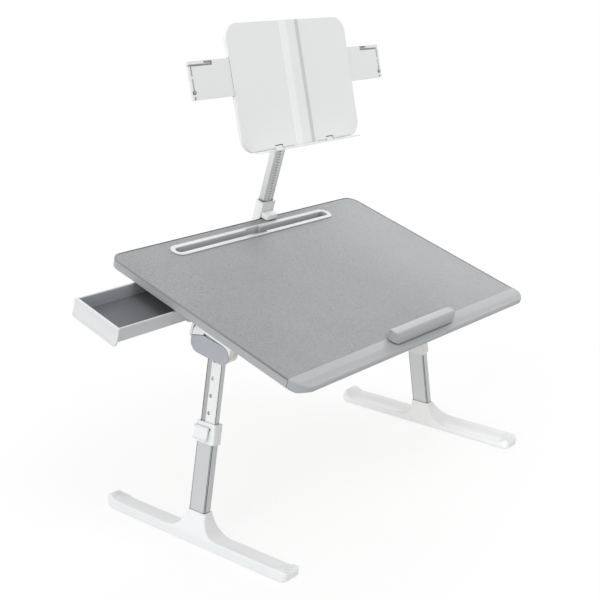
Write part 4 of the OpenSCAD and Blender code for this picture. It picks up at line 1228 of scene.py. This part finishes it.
@dataclass
class Studio:
    """A white sweep, soft lamps and the camera at the photograph's angle."""

    floor_z: float = 0.0
    white: str = "#ffffff"
    bounce: str = "#e2e2e2"
    world_light: float = 0.58
    floor_glow: float = 0.8

    def build(self) -> None:
        """Sets the floor, the light and the camera."""
        self.floor()
        self.world()
        self.lamp("left", (-0.85, -0.1, 0.5), 35.0, 0.45)
        self.lamp("low_left", (-0.95, -0.12, 0.2), 25.0, 0.58)
        self.lamp("top", (0.0, -0.5, 0.87), 40.0, 0.95)
        self.lamp("right", (0.78, 0.35, 0.5), 35.0, 0.55)
        self.camera()
        bpy.context.scene.view_settings.view_transform = "Standard"

    def seen_share(self, tree: bpy.types.NodeTree) -> bpy.types.NodeSocket:
        """Is 1 for rays from the camera, a gloss or a clear piece, and 0 for the light's own.

        Args:
            tree: the tree that asks for it.

        Returns:
            The socket that gives the share.
        """
        path = add_node(tree, "ShaderNodeLightPath")
        direct = add_node(
            tree,
            "ShaderNodeMath",
            {"operation": "MAXIMUM"},
            {0: path.outputs["Is Camera Ray"], 1: path.outputs["Is Glossy Ray"]},
        )
        return add_node(
            tree,
            "ShaderNodeMath",
            {"operation": "MAXIMUM"},
            {0: direct.outputs[0], 1: path.outputs["Is Transmission Ray"]},
        ).outputs[0]

    def floor(self) -> None:
        """Lays a floor that shows white, and keeps the soft shadow under the table."""
        bpy.ops.mesh.primitive_plane_add(size=30, location=(0, 0, self.floor_z))
        floor = bpy.context.object
        floor.name = "studio_floor"
        material, tree = new_material("studio_white")
        # paper white to the eye, a little greyer in the light that it gives back
        colour = add_node(
            tree,
            "ShaderNodeMix",
            {"data_type": "RGBA"},
            {0: self.seen_share(tree), 6: linear(self.bounce), 7: linear(self.white)},
        )
        diffuse = add_node(tree, "ShaderNodeBsdfDiffuse", inputs={"Color": colour.outputs[2]})
        glow = add_node(tree, "ShaderNodeEmission", inputs={"Color": (1, 1, 1, 1)})
        # part of what is seen is plain white, which leaves a faint shadow
        share = add_node(
            tree,
            "ShaderNodeMapRange",
            inputs={"Value": self.seen_share(tree), "To Min": 0.0, "To Max": self.floor_glow},
        )
        both = add_node(
            tree,
            "ShaderNodeMixShader",
            inputs={0: share.outputs["Result"], 1: diffuse.outputs[0], 2: glow.outputs[0]},
        )
        add_node(tree, "ShaderNodeOutputMaterial", inputs={"Surface": both.outputs[0]})
        floor.data.materials.append(material)

    def world(self) -> None:
        """Lights evenly from all round, and shows white behind the table."""
        world = bpy.data.worlds.new("studio_world")
        bpy.context.scene.world = world
        world.use_nodes = True
        tree = world.node_tree
        tree.nodes.clear()
        # the studio is dimmer in front of the table than behind it
        way = add_node(tree, "ShaderNodeTexCoord").outputs["Generated"]
        depth = add_node(tree, "ShaderNodeSeparateXYZ", inputs={0: way}).outputs["Y"]
        light = add_node(
            tree,
            "ShaderNodeMapRange",
            inputs={
                "Value": depth,
                "From Min": -1.0,
                "To Min": self.world_light * 0.7,
                "To Max": self.world_light * 1.3,
            },
        )
        strength = add_node(
            tree,
            "ShaderNodeMix",
            inputs={0: self.seen_share(tree), 2: light.outputs["Result"], 3: 1.0},
        )
        glow = add_node(
            tree,
            "ShaderNodeBackground",
            inputs={"Color": (1, 1, 1, 1), "Strength": strength.outputs[0]},
        )
        add_node(tree, "ShaderNodeOutputWorld", inputs={"Surface": glow.outputs[0]})

    def lamp(
        self, name: str, towards: tuple[float, float, float], spread: float, strength: float
    ) -> None:
        """Adds a large, distant, soft lamp.

        Args:
            name: the lamp's name.
            towards: the way from the table to the lamp.
            spread: how wide it looks from the table, in degrees.
            strength: its strength.
        """
        data = bpy.data.lights.new(name, "SUN")
        data.angle = math.radians(spread)
        data.energy = strength
        lamp = bpy.data.objects.new(name, data)
        bpy.context.scene.collection.objects.link(lamp)
        lamp.rotation_euler = Vector(towards).to_track_quat("Z", "Y").to_euler()

    def camera(self) -> None:
        """Puts the camera where the photograph was taken from."""
        data = bpy.data.cameras.new("camera")
        data.sensor_width = 36.0
        data.lens = 69.786
        data.clip_start = 0.05
        data.clip_end = 100.0
        camera = bpy.data.objects.new("camera", data)
        bpy.context.scene.collection.objects.link(camera)
        camera.location = (-1.38551, -1.15955, 0.84969)
        camera.rotation_euler = (math.radians(90 - 16.396), 0.0, math.radians(-49.834))
        bpy.context.scene.camera = camera


def main() -> None:
    """Builds the scene, piece by piece."""
    logging.basicConfig(level=logging.INFO, format="%(name)s: %(message)s")
    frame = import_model()
    shop = Workshop(frame)
    Studio().build()
    Desktop(shop).build()
    Drawer(shop).build()
    StopBar(shop).build()
    for side in Side:
        Leg(shop, side).build()
    BookStand(shop).build()


if __name__ == "__main__":
    main()
